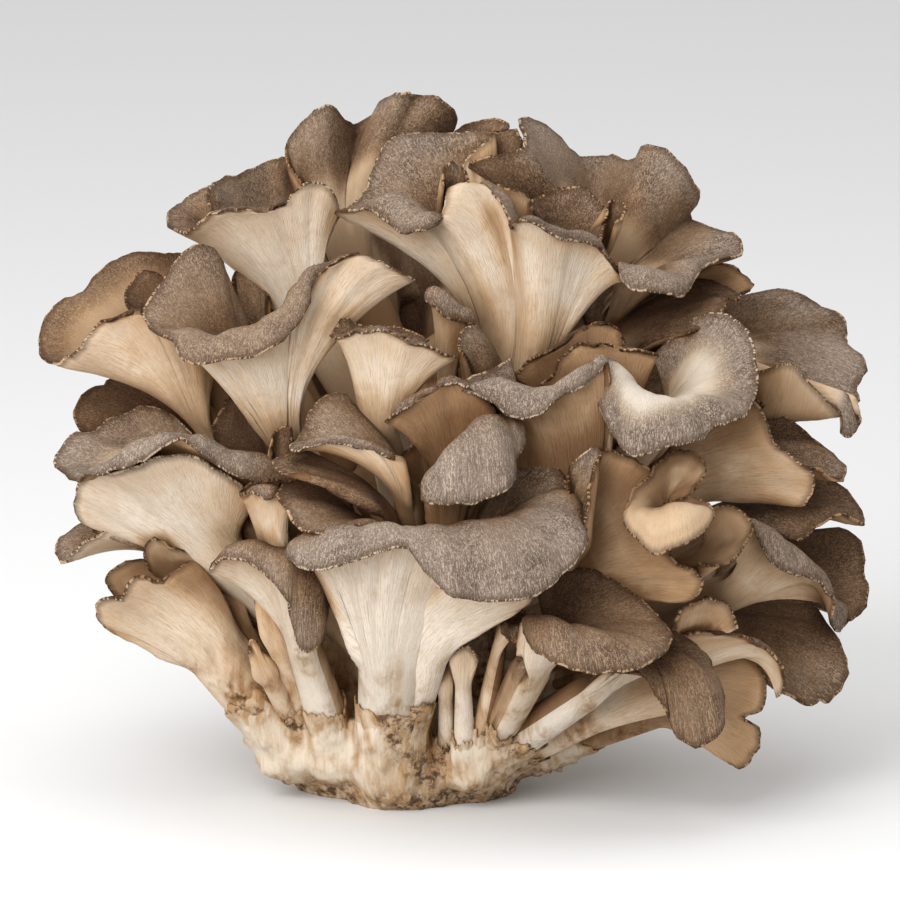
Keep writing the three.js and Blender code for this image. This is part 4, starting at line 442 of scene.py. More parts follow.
        Blade((6, -20, 10), (27, -40, 24.5), (4.4, 3.6, 3.4), 0.15, [
            (41, -38, 36.4), (44, -38, 36.2), (47.5, -40, 34.2, 0.5), (50.3, -42, 31.3, 1.5),
            (52.5, -44, 27.8, 3), (53.8, -46, 23.5, 6), (53.7, -48, 20, 9), (52.5, -50, 17, 12),
            (50.3, -51, 15, 14), (47.8, -52, 14.3, 15), (45.3, -52, 15.2, 14), (43.6, -52, 17.2, 12.5),
            (43, -52, 19.5, 10.5), (41.5, -52, 22, 8), (40, -52, 24, 6), (39, -51, 26.3, 3.8),
            (37.3, -50, 28, 2.2), (34.5, -49, 28.5, 1.2), (31.5, -48, 28.6, 0.8)])]),
    Branch("right_low_stem", (0.3, 0), [
        Blade((9, -14, 11), (27, -28, 19), (4.4, 3.5, 3), 0.4, [
            (46, -34, 20.5), (45, -34, 24), (42, -33, 28), (38, -32, 29)])]),
    Branch("right_centre_fan", (0.1, 0.6), [
        Blade((10, -14, 34), (23, -34, 47), (6, 7, 4.5), 0.3, [
            (44, -43, 42.3), (46.5, -45, 42.4), (48.3, -46, 43.9), (49.2, -47, 46.2), (48.2, -48, 48.2),
            (46, -48, 49.4), (44, -48, 50.2), (43, -47, 53), (42.5, -46, 58), (41, -46, 64),
            (38.5, -47, 68.7), (35, -48, 70.3), (31.5, -49, 71.7, 0.4), (28.5, -50, 72, 0.4), (26, -50, 70),
            (24.5, -50, 66)]),
        Blade((10, -14, 34), (23, -42, 52), (4, 3.5, 2.6), 0.1, [
            (22.8, -51, 62), (23, -51, 66), (24, -51, 69.3), (26.2, -52, 71.6), (28.4, -53, 72.3),
            (28.1, -54, 69), (27.7, -55, 65.5), (26.8, -56, 61.5), (26, -56, 58)])]),
    Branch("right_curled_cup", (0.9, 0.5), [
        Blade((20, -14, 42), (39, -42, 56), (4, 3.5, 3), 1, [
            (42, -49, 61.5), (45.5, -50, 62.6), (48, -51, 62.6), (50.4, -53, 61.2, 0.3),
            (51.6, -54, 59.4, 1.5), (50.5, -56, 57.4, 3.5), (48, -57, 55.2, 5.5), (45, -58, 53.4, 6.5),
            (42, -58, 52.2, 7), (39.5, -58, 52.1, 6.5), (37.5, -57, 53.2, 5.5), (36, -56, 55, 4.2),
            (34.4, -55, 56.8, 3), (33.7, -53, 59, 1.5), (34.6, -52, 61.8, 0.5), (36.5, -50, 64.5),
            (38.8, -48, 67.3), (40.5, -46, 69.6), (42.8, -44, 71.2), (45, -43, 71.8), (47.3, -43, 71.5),
            (49.2, -44, 70.2), (49.9, -45, 68.3), (48.8, -46, 65.5), (47.3, -47, 63.5)]),
        Blade((20, -14, 42), (47, -38, 49), (4, 2.5, 2.2), 0.8, [
            (49.5, -40, 59), (52, -39, 60.6), (54.7, -40, 60.9), (57.2, -41, 59.8), (58.8, -43, 57.3),
            (59, -44, 55.2), (58, -45, 53, 0.5), (56.3, -46, 51, 0.8), (53.5, -47, 50, 0.8),
            (50.5, -47, 49.3, 0.6), (48.3, -46, 50.3)])]),
    Branch("right_hooded_frond", (0.3, 0.4), [
        Blade((26, -10, 36), (54, -25, 44), (5, 5, 4), 0.1, [
            (79.5, -8, 41, 0.5), (79.4, -10, 39, 3), (78.4, -13, 36.6, 6.5), (77, -16, 36, 8.5),
            (76, -19, 37.2, 9), (75.9, -21, 39.5, 7.5), (75, -24, 42.5, 5.5), (73, -27, 45.5, 4.5),
            (70.5, -30, 47, 5), (68, -32, 47.5, 6), (65.5, -34, 48.2, 7), (63.5, -35, 49.8, 6.8),
            (62, -36, 52.2, 5), (60.5, -36, 54.8, 3), (59.3, -35, 57.3, 1), (60, -30, 58.5)])]),
    Branch("right_pale_fan", (0.4, 0.5), [
        Blade((24, -8, 50), (44, -22, 65), (6, 6, 4.5), 0.2, [
            (66.5, -27, 62), (69.3, -28, 61.2), (70.8, -29, 62.6), (71.7, -30, 65.2), (71.3, -31, 67.6),
            (69, -32, 69.3), (66, -32, 71.3), (63.8, -32, 74), (62, -31, 78), (59.5, -30, 81.8),
            (54, -28, 83)]),
        Blade((24, -6, 52), (48, -14, 68), (5, 5, 3.5), 0.1, [
            (60, -20, 82), (64, -18, 80.3), (68, -17, 78), (71, -17, 75.2), (74, -17, 72.7),
            (76.5, -18, 70.8), (78.2, -20, 68.3), (77.8, -22, 65.8), (76, -24, 65.3, 0.4),
            (74.7, -25, 67, 0.8), (73, -26, 68.2, 0.6), (70.8, -26, 68.6)])]),
    Branch("right_dark_fronds", (0.6, 0.6), [
        Blade((26, -6, 42), (52, -12, 57), (5, 5, 3.5), 0.1, [
            (66, -8, 67), (72, -8, 67.5), (75.5, -9, 66), (78.5, -10, 64.3), (80.7, -12, 61.8),
            (82.2, -15, 58.6, 0.3), (81.8, -18, 57.6, 1), (79.5, -20, 58.4, 1.5), (77, -22, 58.9, 1.5),
            (74.5, -23, 58.2, 1.5), (72.3, -24, 56.8, 1.2), (70.3, -25, 55, 1), (68.5, -26, 54, 0.5)]),
        Blade((26, -4, 40), (60, -6, 46), (5, 4, 3), 0.5, [
            (66, -5, 54), (70, -4, 55.5), (73, -4, 56), (77, -3, 56.2), (80, -4, 55.2), (82, -6, 53),
            (82.6, -7, 50), (82, -7, 47.8), (82.6, -8, 46), (83.2, -9, 43.8), (82.6, -10, 41.3),
            (81, -11, 39.3), (79, -12, 38)])]),
    Branch("right_low_dark_frond", (0.6, 0.6), [
        Blade((24, -8, 26), (52, -14, 34), (5, 5, 3.5), 0.1, [
            (60, -10, 43), (66, -10, 43), (71.5, -10, 41.5), (74.5, -11, 38.3), (76.3, -12, 35),
            (78, -14, 33), (78.7, -15, 30), (78.3, -17, 26.8), (76.8, -18, 23.8), (74.6, -20, 22.2),
            (73, -20, 22.5), (71.8, -21, 21.2), (69, -22, 22.2), (66, -24, 23.8), (63.5, -25, 25)])]),
    Branch("right_arched_lip", (0.4, 0.3), [
        Blade((18, -14, 18), (42, -28, 29), (5, 3.8, 3), 0.2, [
            (64.2, -30, 23.2, 6.5), (65.6, -30, 24.8, 6), (65.7, -31, 27, 5), (64.3, -32, 29.8, 3),
            (62, -33, 32.4, 2), (59, -34, 34.8, 1), (55, -35, 36.3, 0.6), (50.5, -36, 36.4, 0.5),
            (46.5, -37, 35.4, 0.5), (43.5, -37, 34.3)]),
        Blade((20, -14, 24), (43, -30, 33), (4, 3.5, 3), 0.2, [
            (56.6, -36, 37), (55.6, -36, 39), (53.5, -37, 41.2, 0.4), (51, -38, 42.2, 0.4),
            (48, -39, 42, 0.4), (45.5, -40, 40.6), (44, -40, 38.5)])]),
    Branch("right_low_lobes", (0.6, 0.85), [
        Blade((18, -12, 14), (39, -22, 22), (5, 5.5, 4), 0.6, [
            (53, -24, 12.3), (55.5, -25, 10), (57.2, -25, 9.2), (58.8, -25, 10.3), (59.4, -25, 11.8),
            (60.8, -25, 13), (61.3, -25, 15), (60.8, -25, 17.2), (59.3, -25, 18.2), (57.7, -25, 18.8),
            (59.2, -25, 19.7), (61, -25, 20.3), (62, -25, 22.3), (62.3, -25, 25.3), (61.3, -26, 28.5),
            (58.5, -27, 31.5), (54, -28, 33), (50, -28, 33.5)])]),
)


Placer = Callable[[float, float, float], tuple[float, float, float]]


@dataclass(frozen=True)
class BackTier:
    """One tier of fronds at the back, which lean outwards round the core.

    Middle and spread are directions in degrees from straight back, of the whole tier and between
    neighbours. Reaches are how far out from the core a neck or a margin lies.
    """

    name: str
    count: int
    forks: int
    middle: float
    spread: float
    foot_height: float
    neck_height: float
    neck_reach: float
    margin_height: float
    margin_reach: float
    half_width: float
    wave: float
    core: tuple[float, float] = (-6, 2)
    # Painted shade of the tier's upper sides and undersides.
    painted_shade: tuple[float, float] = (0.35, 0.5)
    inner_turn: float = 14
    inner_reach: float = 0.72
    inner_rise: float = 5
    inner_width: float = 0.7
    step_down: float = 6

    def outwards(self, turn: float) -> Placer:
        """Gives places by how far out, across and up they are in one direction."""
        (x, y), s, c = self.core, math.sin(turn), math.cos(turn)
        return lambda out, across, up: (x + out * s + across * c, y + out * c - across * s, up)

    def margin(self, at: Placer, reach: float, height: float, half: float, phase: int,
               points: int) -> list[tuple[float, ...]]:
        """Margin of a frond: a wide arc that rises in the middle and waves in and out.

        Args:
            at: Gives a place by how far out, across and up it is.
            reach: How far out the middle of the margin is.
            height: How high the middle of the margin is.
            half: Half the frond's width.
            phase: Shifts the waves, so that no two fronds are alike.
            points: How many points the margin has.

        Returns:
            The margin's points, each x, y, z and how far it rolls over.
        """
        rim = []
        for j in range(points):
            t = 2 * j / (points - 1) - 1
            out = reach - 9 * t * t - 4 * t ** 6 + self.wave * math.sin(5 * t + phase * 1.7)
            up = height - 15 + 15 * math.cos(t * 2.15) + 0.4 * self.wave * math.cos(4 * t + phase)
            rim.append((*at(out, half * math.sin(t * 1.95), up), (1 + j % 3) * (1 - t ** 4)))
        return rim

    def branches(self) -> list[Branch]:
        """Makes the tier's branches, each with a broad frond and perhaps a smaller one inside."""
        made = []
        for i in range(self.count):
            turn = math.radians(self.middle + (i - (self.count - 1) / 2) * self.spread)
            at = self.outwards(turn)
            inner = self.outwards(turn + math.radians(self.inner_turn if i % 2 else -self.inner_turn))
            low = (i % 2) * self.step_down
            foot, neck, rim = (height - low for height in (self.foot_height, self.neck_height,
                                                           self.margin_height))
            blades = [
                Blade(at(11, 0, foot), at(self.neck_reach, 0, neck), (7, 7, 4.5), 0.3,
                      self.margin(at, self.margin_reach, rim, self.half_width, i, 11)),
                Blade(at(11, 0, foot), inner(self.neck_reach * 0.8, 0, neck + 6), (5, 4.5, 3.5), 0.2,
                      self.margin(inner, self.margin_reach * self.inner_reach,
                                  rim + self.inner_rise, self.half_width * self.inner_width, i + 2, 9)),
            ]
            made.append(Branch(f"{self.name}_{'abcde'[i]}", self.painted_shade, blades[:self.forks]))
        return made


BACK_TIERS: tuple[BackTier, ...] = (
    BackTier("back_low", 5, 1, 0, 36, 20, 30, 25, 50, 44, 20.5, 4),
    BackTier("back_middle", 5, 2, 2, 34, 38, 52, 27, 78, 53, 22.6, 5),
    BackTier("back_upper", 4, 2, 0, 36, 54, 78, 20, 108, 40, 20.8, 5),
    BackTier("back_crown", 2, 1, -6, 62, 66, 98, 17, 127, 29, 18, 4),
)


def soft_noise(along: np.ndarray, length: float, seed: float) -> np.ndarray:
    """Smooth irregular waves along a line, between about -1 and 1.

    Args:
        along: Places on the line.
        length: Typical length of a wave, in the same units.
        seed: Shifts the waves.

    Returns:
        The height of the waves at each place.
    """
    flat = [noise.noise(Vector((a / length, seed * 7.31, 3.7))) * 2 for a in np.ravel(along)]
    return np.reshape(flat, np.shape(along))


@dataclass
class FrondSheet:
    """The fine surface of one blade, as rows of points from its foot to past its margin.

    Its columns run from the foot to the margin, and crowding draws them towards both side edges.
    """

    spec: Blade
    seed: float
    column_pitch: float = 0.95
    fewest_columns: int = 36
    most_columns: int = 150
    crowding: float = 0.85
    stem_rows: int = 9
    fan_rows: int = 30
    edge_rows: int = 3
    stem_pull: float = 0.38
    rim_pull: float = 0.58
    fold_pull: float = 0.8
    full_fold: float = 1.5
    sheet_at_neck: float = 1.15
    sheet_at_rim: float = 0.7
    crimp: float = 0.42
    thinning: float = 0.55
    lowest: float = 0.0004
    evening: int = 26
    middle: np.ndarray = field(init=False)
    half: np.ndarray = field(init=False)
    square: np.ndarray = field(init=False)
    across: np.ndarray = field(init=False)
    along: np.ndarray = field(init=False)

    def __post_init__(self) -> None:
        """Works out the rows once."""
        rim = self.spec.rim
        length = np.linalg.norm(np.diff(rim[:, :3], axis=0), axis=1).sum()
        wanted = max(self.fewest_columns, length / self.column_pitch)
        self.columns = int(min(self.most_columns, wanted))
        t = np.linspace(0, 1, self.columns + 1)
        self.u = t - self.crowding * np.sin(2 * np.pi * t) / (2 * np.pi)
        self.margin = self._margin_curve(rim)
        steps = np.linalg.norm(np.diff(self.margin[:, :3], axis=0), axis=1)
        self.arc = np.concatenate([[0], np.cumsum(steps)])
        self._lay_rows()
        self._wave()
        self._round_margin()
        # Openness of each side, which sets its painted shade.
        self.air = {side: np.ones_like(self.half) for side in Side}

    def _margin_curve(self, rim: np.ndarray) -> np.ndarray:
        """Smooth curve through the margin's points at each column."""
        last = len(rim) - 1
        padded = np.vstack([2 * rim[0] - rim[1], rim, 2 * rim[last] - rim[last - 1]])
        i = np.minimum((self.u * last).astype(int), last - 1)
        f = (self.u * last - i)[:, None]
        a, b, c, d = (padded[i + k] for k in range(4))
        return 0.5 * (2 * b + (c - a) * f + (2 * a - 5 * b + 4 * c - d) * f ** 2
                      + (3 * b - a - 3 * c + d) * f ** 3)

    def _lay_rows(self) -> None:
        """Lays the middle surface and its half thickness, from the foot to the margin."""
        foot, neck = self.spec.stalk
        at_foot, at_neck, deep = self.spec.widths
        along, side = self.spec.axes
        turn = np.pi * (1 - self.u)
        chord, bulge = np.cos(turn)[:, None], np.sin(turn)
        rows, half, reach = [], [], []
        for t in np.arange(self.stem_rows) / self.stem_rows:
            width = at_foot + (at_neck - at_foot) * t
            rows.append(foot + (neck - foot) * t + chord * width * side)
            half.append(bulge * (width + (deep - at_neck) * t))
            reach.append(t - 1)
        start = neck + chord * at_neck * side
        end = self.margin[:, :3]
        span = np.linalg.norm(end - start, axis=1)[:, None]
        pull = start + along * span * self.stem_pull
        fold = self.margin[:, 3:4]
        folded = np.minimum(1, np.abs(fold) / self.full_fold)
        bend = pull + (end - pull) * (self.rim_pull + (self.fold_pull - self.rim_pull) * folded)
        by_start, by_pull, by_bend = 0.0156, 0.1406, 0.4219  # the curve's weights near its margin
        top = (end[:, 2:] * (1 - by_bend) + fold - start[:, 2:] * by_start
               - pull[:, 2:] * by_pull) / by_bend
        bend[:, 2:] += (top - bend[:, 2:]) * folded
        for v in np.arange(self.fan_rows + 1) / self.fan_rows:
            v = 1 - (1 - v) ** 1.25
            rows.append((1 - v) ** 3 * start + 3 * (1 - v) ** 2 * v * pull
                        + 3 * (1 - v) * v * v * bend + v ** 3 * end)
            sheet = self.sheet_at_neck + (self.sheet_at_rim - self.sheet_at_neck) * v
            flat = min(1.0, 2 * v)
            run = np.minimum(1, (1 + 7 * flat) * bulge)
            edge = flat * np.sqrt(np.clip(1 - (1 - run) ** 2, 0, 1)) + (1 - flat) * bulge
            half.append((deep * (1 - v) ** 2 + sheet * (1 - (1 - v) ** 2)) * edge)
            reach.append(v)
        self.middle, self.half = np.array(rows), np.array(half)
        for k, share in enumerate(reach):
            for _ in range(round(self.evening * max(0.0, min(1.0, 1 - share)) * (share > 0))):
                row = self.middle[k]
                row[1:-1] = row[1:-1] * 0.5 + (row[2:] + row[:-2]) * 0.25
        self.reach = np.array(reach)
        self.span = float(span.mean())
        stem = float(np.linalg.norm(neck - foot))
        lengths = np.where(self.reach < 0, self.reach * stem, self.reach * self.span)
        self.across = np.tile(self.arc, (len(rows), 1))
        self.along = np.tile(lengths[:, None], (1, len(self.u)))
        self._face()

    def _face(self) -> None:
        """Works out which way the upper side faces at every point."""
        self.square = unit(np.cross(np.gradient(self.middle, axis=1),
                                    np.gradient(self.middle, axis=0)))

    def _wave(self) -> None:
        """Lifts the sheet in soft ripples that grow towards the margin, and crimps its edge."""
        v = np.clip(self.reach, 0, 1)[:, None]
        inner = np.sin(np.pi * self.u)[None, :] ** 0.5
        drift = self.along / 26
        ripple = sum(size * np.sin(self.across / length * 2 * np.pi + self.seed * k + drift * k)
                     for k, (size, length) in enumerate([(0.35, 17), (0.28, 9.5), (0.16, 5.3)], 1))
        ripple = ripple + 0.55 * soft_noise(self.arc, 7, self.seed)[None, :]
        self.middle += self.square * (ripple * v ** 1.7 * inner)[..., None]
        near = np.clip(1 - (1 - v) * self.span / 3.2, 0, 1) ** 1.5
        self.half = self.half * (1 - self.thinning * near)
        jag = (0.55 * soft_noise(self.arc, 1.1, self.seed + 5)
               + 0.5 * soft_noise(self.arc, 3.1, self.seed + 9))[None, :] * self.crimp
        lift = (0.7 * soft_noise(self.arc, 1.5, self.seed + 13)
                + 0.4 * soft_noise(self.arc, 4.3, self.seed + 17))[None, :] * self.crimp
        outward = unit(np.gradient(self.middle, axis=0))
        self.middle += (outward * (jag * near * inner)[..., None]
                        + self.square * (lift * near * inner)[..., None])
        rib = 0.5 + 0.5 * np.sin(self.across / 1.9 * 2 * np.pi + 2.5 * soft_noise(
            self.arc, 3.3, self.seed + 21)[None, :])
        self.rib = 0.05 * rib * np.clip(v * 3, 0, 1) * np.clip((1 - v) * 5, 0, 1)
        self._face()

    def _round_margin(self) -> None:
        """Adds the rows that carry the sheet round its margin."""
        outward = unit(self.middle[-1] - self.middle[-2])
        last = {name: getattr(self, name)[-1] for name in ("middle", "half", "square", "across", "along")}
        for k in range(1, self.edge_rows + 1):
            turn = math.pi / 2 * k / self.edge_rows
            push = outward * (last["half"] * math.sin(turn))[:, None]
            self.middle = np.vstack([self.middle, (last["middle"] + push)[None]])
            self.half = np.vstack([self.half, (last["half"] * math.cos(turn))[None]])
            self.square = np.vstack([self.square, last["square"][None]])
            self.across = np.vstack([self.across, last["across"][None]])
            self.along = np.vstack([self.along, (last["along"] + last["half"] * math.sin(turn))[None]])
            self.rib = np.vstack([self.rib, self.rib[-1:] * 0])
        self.half[-1] = 0
        self.reach = np.concatenate([self.reach, np.full(self.edge_rows, 1.0)])
        steps = np.linalg.norm(np.diff(self.middle, axis=0, append=self.middle[-1:]), axis=2)
        self.inside = np.cumsum(steps[::-1], axis=0)[::-1]

    def skin(self, side: float, gap: float = 0.0) -> np.ndarray:
        """Places the points of one side of the blade.

        Args:
            side: 1 for the upper side, -1 for the underside.
            gap: How far outside the skin the points are, in drawn millimetres.

        Returns:
            The points in metres, in rows from the foot to the margin.
        """
        thick = self.half if side > 0 else self.half - np.minimum(self.rib, self.half * 0.3)
        placed = HEAD.place(self.middle + self.square * (side * (thick + gap))[..., None])
        placed[..., 2] = np.maximum(placed[..., 2], self.lowest)
        return placed

    def add_to(self, shell: bmesh.types.BMesh) -> None:
        """Adds the closed skin of the blade to a mesh.

        A flat grid is made once and wrapped round the blade: its left half becomes the upper
        side and its right half the underside, and the two are welded at the edges.

        Args:
            shell: The mesh that the skin is added to.
        """
        rows, columns = len(self.middle) - 1, self.columns
        grid = bmesh.ops.create_grid(shell, x_segments=2 * columns, y_segments=rows, size=0.5)
        span = shell.verts.layers.float_vector["span"]
        tone = shell.verts.layers.float_vector["tone"]
        air = shell.verts.layers.float["air"]
        upper, under = self.skin(1), self.skin(-1)
        for vert in grid["verts"]:
            j = round((vert.co.x + 0.5) * 2 * columns)
            k = round((vert.co.y + 0.5) * rows)
            i, skin, side = (j, upper, Side.UPPER) if j <= columns else (2 * columns - j, under,
                                                                         Side.UNDER)
            # Openness here sets the painted shade.
            vert[air] = self.air[side][k, i]
            if i in (0, columns) or k == rows:
                side = Side.EDGE
                skin = upper
            vert.co = skin[k][i]
            vert[span] = (self.across[k, i], self.along[k, i], side.value)
            vert[tone] = (self.spec.pale, self.reach[k], self.inside[k, i])
        bmesh.ops.remove_doubles(shell, verts=grid["verts"], dist=WELD)
        feet = [e for e in shell.edges if e.is_boundary]
        bmesh.ops.holes_fill(shell, edges=feet, sides=0)


@dataclass
class Shelter:
    """Finds how open to the air each place of the head is, by looking out in many directions.

    Places deep between the fronds get painted shade: the finishes darken and brown them. The core is a
    column round the trunk, painted darker still. It fades out sideways over its edge, above its floor and
    below its top.
    """

    views: int = 14
    sight: float = 34.0
    straight_out: float = 1.02
    # How strongly a branch's own painted shade darkens its openness, flatly and by sharpening it.
    painted_shade_share: float = 0.35
    painted_shade_power: float = 1.2
    core_shade: float = 0.6
    core_radius: float = 27.0
    core_edge: float = 13.0
    core_floor: float = 30.0
    core_floor_fade: float = 12.0
    core_top: float = 118.0
    core_top_fade: float = 24.0
    step: int = 3
    gap: float = 0.5
    tree: BVHTree | None = None

    def _coarse(self, count: int) -> np.ndarray:
        """Every few numbers below a count, with the last one."""
        return np.unique(np.append(np.arange(0, count, self.step), count - 1))

    def learn(self, sheets: Iterable[FrondSheet]) -> None:
        """Keeps a coarse copy of all the fronds, to look out past."""
        corners, faces = [], []
        for sheet in sheets:
            rows, columns = (self._coarse(n) for n in sheet.half.shape)
            middle = HEAD.place(sheet.middle[np.ix_(rows, columns)])
            number = np.arange(middle.shape[0] * middle.shape[1]).reshape(middle.shape[:2])
            number += len(corners)
            corners.extend(map(tuple, middle.reshape(-1, 3)))
            quads = np.stack([number[:-1, :-1], number[:-1, 1:], number[1:, 1:], number[1:, :-1]], -1)
            faces.extend(quads.reshape(-1, 4).tolist())
        self.tree = BVHTree.FromPolygons(corners, faces)

    def openness(self, places: np.ndarray, normals: np.ndarray) -> np.ndarray:
        """Looks out from each place, most of all straight out.

        Args:
            places: Points just outside the skin, in metres.
            normals: Which way the skin faces at each of them.

        Returns:
            How open each place is, from 0 to 1.
        """
        turn = np.arange(self.views) * GOLDEN_ANGLE
        high = 1 - (2 * np.arange(self.views) + 1) / self.views
        flat = np.sqrt(1 - high ** 2)
        ball = np.stack([flat * np.cos(turn), flat * np.sin(turn), high], -1)
        sight = self.sight * HEAD.scale
        looks = unit(normals[:, None] * self.straight_out + ball[None])
        # Painted shade: places in the core start darker.
        seen = 1 - self.core_shade * self._in_core(places)
        for number, (place, ways) in enumerate(zip(places, looks)):
            hits = (self.tree.ray_cast(place, way, sight)[3] for way in ways)
            seen[number] *= sum(1.0 if hit is None else hit / sight for hit in hits) / self.views
        return seen

    def _in_core(self, places: np.ndarray) -> np.ndarray:
        """How deep in the head's core each place is, from 0 to 1."""
        low, high = HEAD.place(np.array([(TRUNK_X, 0, 0), (TRUNK_X, 0, 100)]))
        up = unit(high - low)
        height = (places - low) @ up / HEAD.scale
        away = np.linalg.norm(places - low - ((places - low) @ up)[:, None] * up, axis=1) / HEAD.scale
        return (np.clip((self.core_radius - away) / self.core_edge, 0, 1)
                * np.clip((height - self.core_floor) / self.core_floor_fade, 0, 1)
                * np.clip((self.core_top - height) / self.core_top_fade, 0, 1))

    def look_out(self, sheet: FrondSheet, painted_shade: tuple[float, float]) -> None:
        """Gives a blade its openness on both sides, which sets its painted shade, lowered by the branch's
        painted shade.

        Args:
            sheet: The blade.
            painted_shade: How much painted shade its upper side and its underside get, from 0 to 1.
        """
        rows, columns = (self._coarse(n) for n in sheet.half.shape)
        square = unit(HEAD.place(sheet.square) - HEAD.place(sheet.square * 0))[np.ix_(rows, columns)]
        for side, sign, shade_weight in ((Side.UPPER, 1, painted_shade[0]), (Side.UNDER, -1, painted_shade[1])):
            places = sheet.skin(sign, self.gap)[np.ix_(rows, columns)]
            seen = self.openness(places.reshape(-1, 3), sign * square.reshape(-1, 3))
            seen = seen.reshape(len(rows), len(columns))
            wide = [np.interp(np.arange(sheet.half.shape[1]), columns, row) for row in seen]
            full = [np.interp(np.arange(sheet.half.shape[0]), rows, line) for line in zip(*wide)]
            # Painted shade: sheltered places sink darker, more so on branches given more painted shade.
            shaded = np.array(full).T ** (1 + self.painted_shade_power * shade_weight)
            sheet.air[side] = shaded * (1 - self.painted_shade_share * shade_weight)


@dataclass
class FrondBranch:
    """Builds and dresses one branch of fronds in place of its plain solid."""

    spec: Branch
    seed: float
    fine: float = 1.0
    sheets: list[FrondSheet] = field(init=False)

    def __post_init__(self) -> None:
        """Lays the branch's sheets."""
        self.sheets = [FrondSheet(spec, self.seed + 1.37 * k, column_pitch=0.95 / self.fine,
                                  fan_rows=round(30 * self.fine))
                       for k, spec in enumerate(self.spec.blades)]

    def build(self) -> bpy.types.Object:
        """Makes the branch's piece.

        Returns:
            The piece, which stands for the branch's node and rides on the root.
        """
        shell = self._empty_shell()
        for sheet in self.sheets:
            part = self._empty_shell()
            sheet.add_to(part)
            bmesh.ops.recalc_face_normals(part, faces=part.faces)
            scrap = bpy.data.meshes.new("scrap")
            part.to_mesh(scrap)
            part.free()
            shell.from_mesh(scrap)
            bpy.data.meshes.remove(scrap)
        for face in shell.faces:
            face.smooth = True
        piece = add_piece(f"{self.spec.name}_skin", shell)
        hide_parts(self.spec.name)
        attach(piece, "root")
        return piece

    @staticmethod
    def _empty_shell() -> bmesh.types.BMesh:
        """Starts a mesh that can carry what the finish follows."""
        shell = bmesh.new()
        shell.verts.layers.float_vector.new("span")
        shell.verts.layers.float_vector.new("tone")
        shell.verts.layers.float.new("air")
        return shell


def add_piece(name: str, shell: bmesh.types.BMesh) -> bpy.types.Object:
    """Turns a finished mesh into an object of the scene.

    Args:
        name: Name of the piece.
        shell: The mesh, which is used up.

    Returns:
        The object, at the origin, with its place in its mesh.
    """
    mesh = bpy.data.meshes.new(name)
    shell.to_mesh(mesh)
    shell.free()
    piece = bpy.data.objects.new(name, mesh)
    bpy.context.scene.collection.objects.link(piece)
    return piece


@dataclass(frozen=True)
class Sheath:
    """A torn sleeve of the base's skin round the foot of a stalk, with a ragged top.

    Its outside is proud of the stalk's skin and flares at the torn top. Its inside is sunk a wall's
    thickness under that skin. The cone of flesh below it spreads past the stalk's foot.
    """

    spec: Blade
    seed: float
    columns: int = 72
    rows: int = 9
    top: float = 0.42
    ragged: float = 1.3
    proud: float = 0.4
    flare: float = 0.4
    spread: float = 2.0
    wall: float = 0.35
    lowest: float = 0.001

    def _ring(self, share: np.ndarray, out: np.ndarray, turn: np.ndarray) -> np.ndarray:
        """Places points round the stalk.

        Args:
            share: How far up the stalk each point is, from 0 at the foot to 1 at the neck.
            out: How far outside the stalk's skin each point is, in drawn millimetres.
            turn: Where round the stalk each point is.

        Returns:
            The points in metres.
        """
        foot, neck = self.spec.stalk
        at_foot, at_neck, deep = self.spec.widths
        along, side = self.spec.axes
        face = np.cross(side, along)
        wide = (at_foot + (at_neck - at_foot) * share + out) * np.cos(turn)
        thick = (at_foot + (deep - at_foot) * share + out) * np.sin(turn)
        placed = HEAD.place(foot + share[:, None] * (neck - foot) + wide[:, None] * side
                            + thick[:, None] * face)
        placed[:, 2] = np.maximum(placed[:, 2], self.lowest)
        return placed

    def rod(self) -> tuple[Sequence[float], Sequence[float], float, float]:
        """The cone of flesh under the sleeve: its start, its end and its two radii."""
        foot, neck = self.spec.stalk
        at_foot, at_neck, deep = self.spec.widths
        near = at_foot + ((at_neck + deep) / 2 - at_foot) * self.top
        tip = foot + (neck - foot) * (self.top - 0.8 / math.dist(foot, neck))
        return self.spec.foot, tip.tolist(), at_foot + self.spread, near - 0.1

    def add_to(self, skin: bmesh.types.BMesh) -> None:
        """Adds the closed sleeve to the base's mesh, outside going up and inside coming down."""
        last = 2 * self.rows + 1
        grid = bmesh.ops.create_grid(skin, x_segments=self.columns, y_segments=last, size=0.5)
        rim = skin.verts.layers.float["rim"]
        length = math.dist(self.spec.foot, self.spec.neck)
        turn = 2 * np.pi * np.arange(self.columns + 1) / self.columns
        round_it = [Vector((math.cos(a), math.sin(a), self.seed)) for a in turn]
        tooth = np.array([2.2 * noise.noise(p * 1.4) + 1.3 * noise.noise(p * 4.7)
                          + 0.7 * noise.noise(p * 11) for p in round_it])
        lift = np.array([max(0.0, 0.4 + 1.6 * noise.noise(p * 3.1 + Vector((5, 0, 0))))
                         for p in round_it])
        top = self.top + tooth * self.ragged / length
        placed, tall = [], []
        for k in range(last + 1):
            up = k / self.rows if k <= self.rows else (last - k) / self.rows
            line = np.array([noise.noise(p * 9 + Vector((0, 0, up))) for p in round_it]) * 0.3
            out = self.proud * min(1.0, 4 * up) + line * up + lift * self.flare * up ** 4
            if k > self.rows:
                out = np.where(up == 1, out - 0.3, -self.wall)
            elif k == 0:
                out = np.full_like(turn, -self.wall)
            placed.append(self._ring(top * up, out, turn))
            tall.append(up ** 3)
        for vert in grid["verts"]:
            i = round((vert.co.x + 0.5) * self.columns)
            k = round((vert.co.y + 0.5) * last)
            vert.co = placed[k][i]
            vert[rim] = tall[k]
        bmesh.ops.remove_doubles(skin, verts=grid["verts"], dist=WELD)


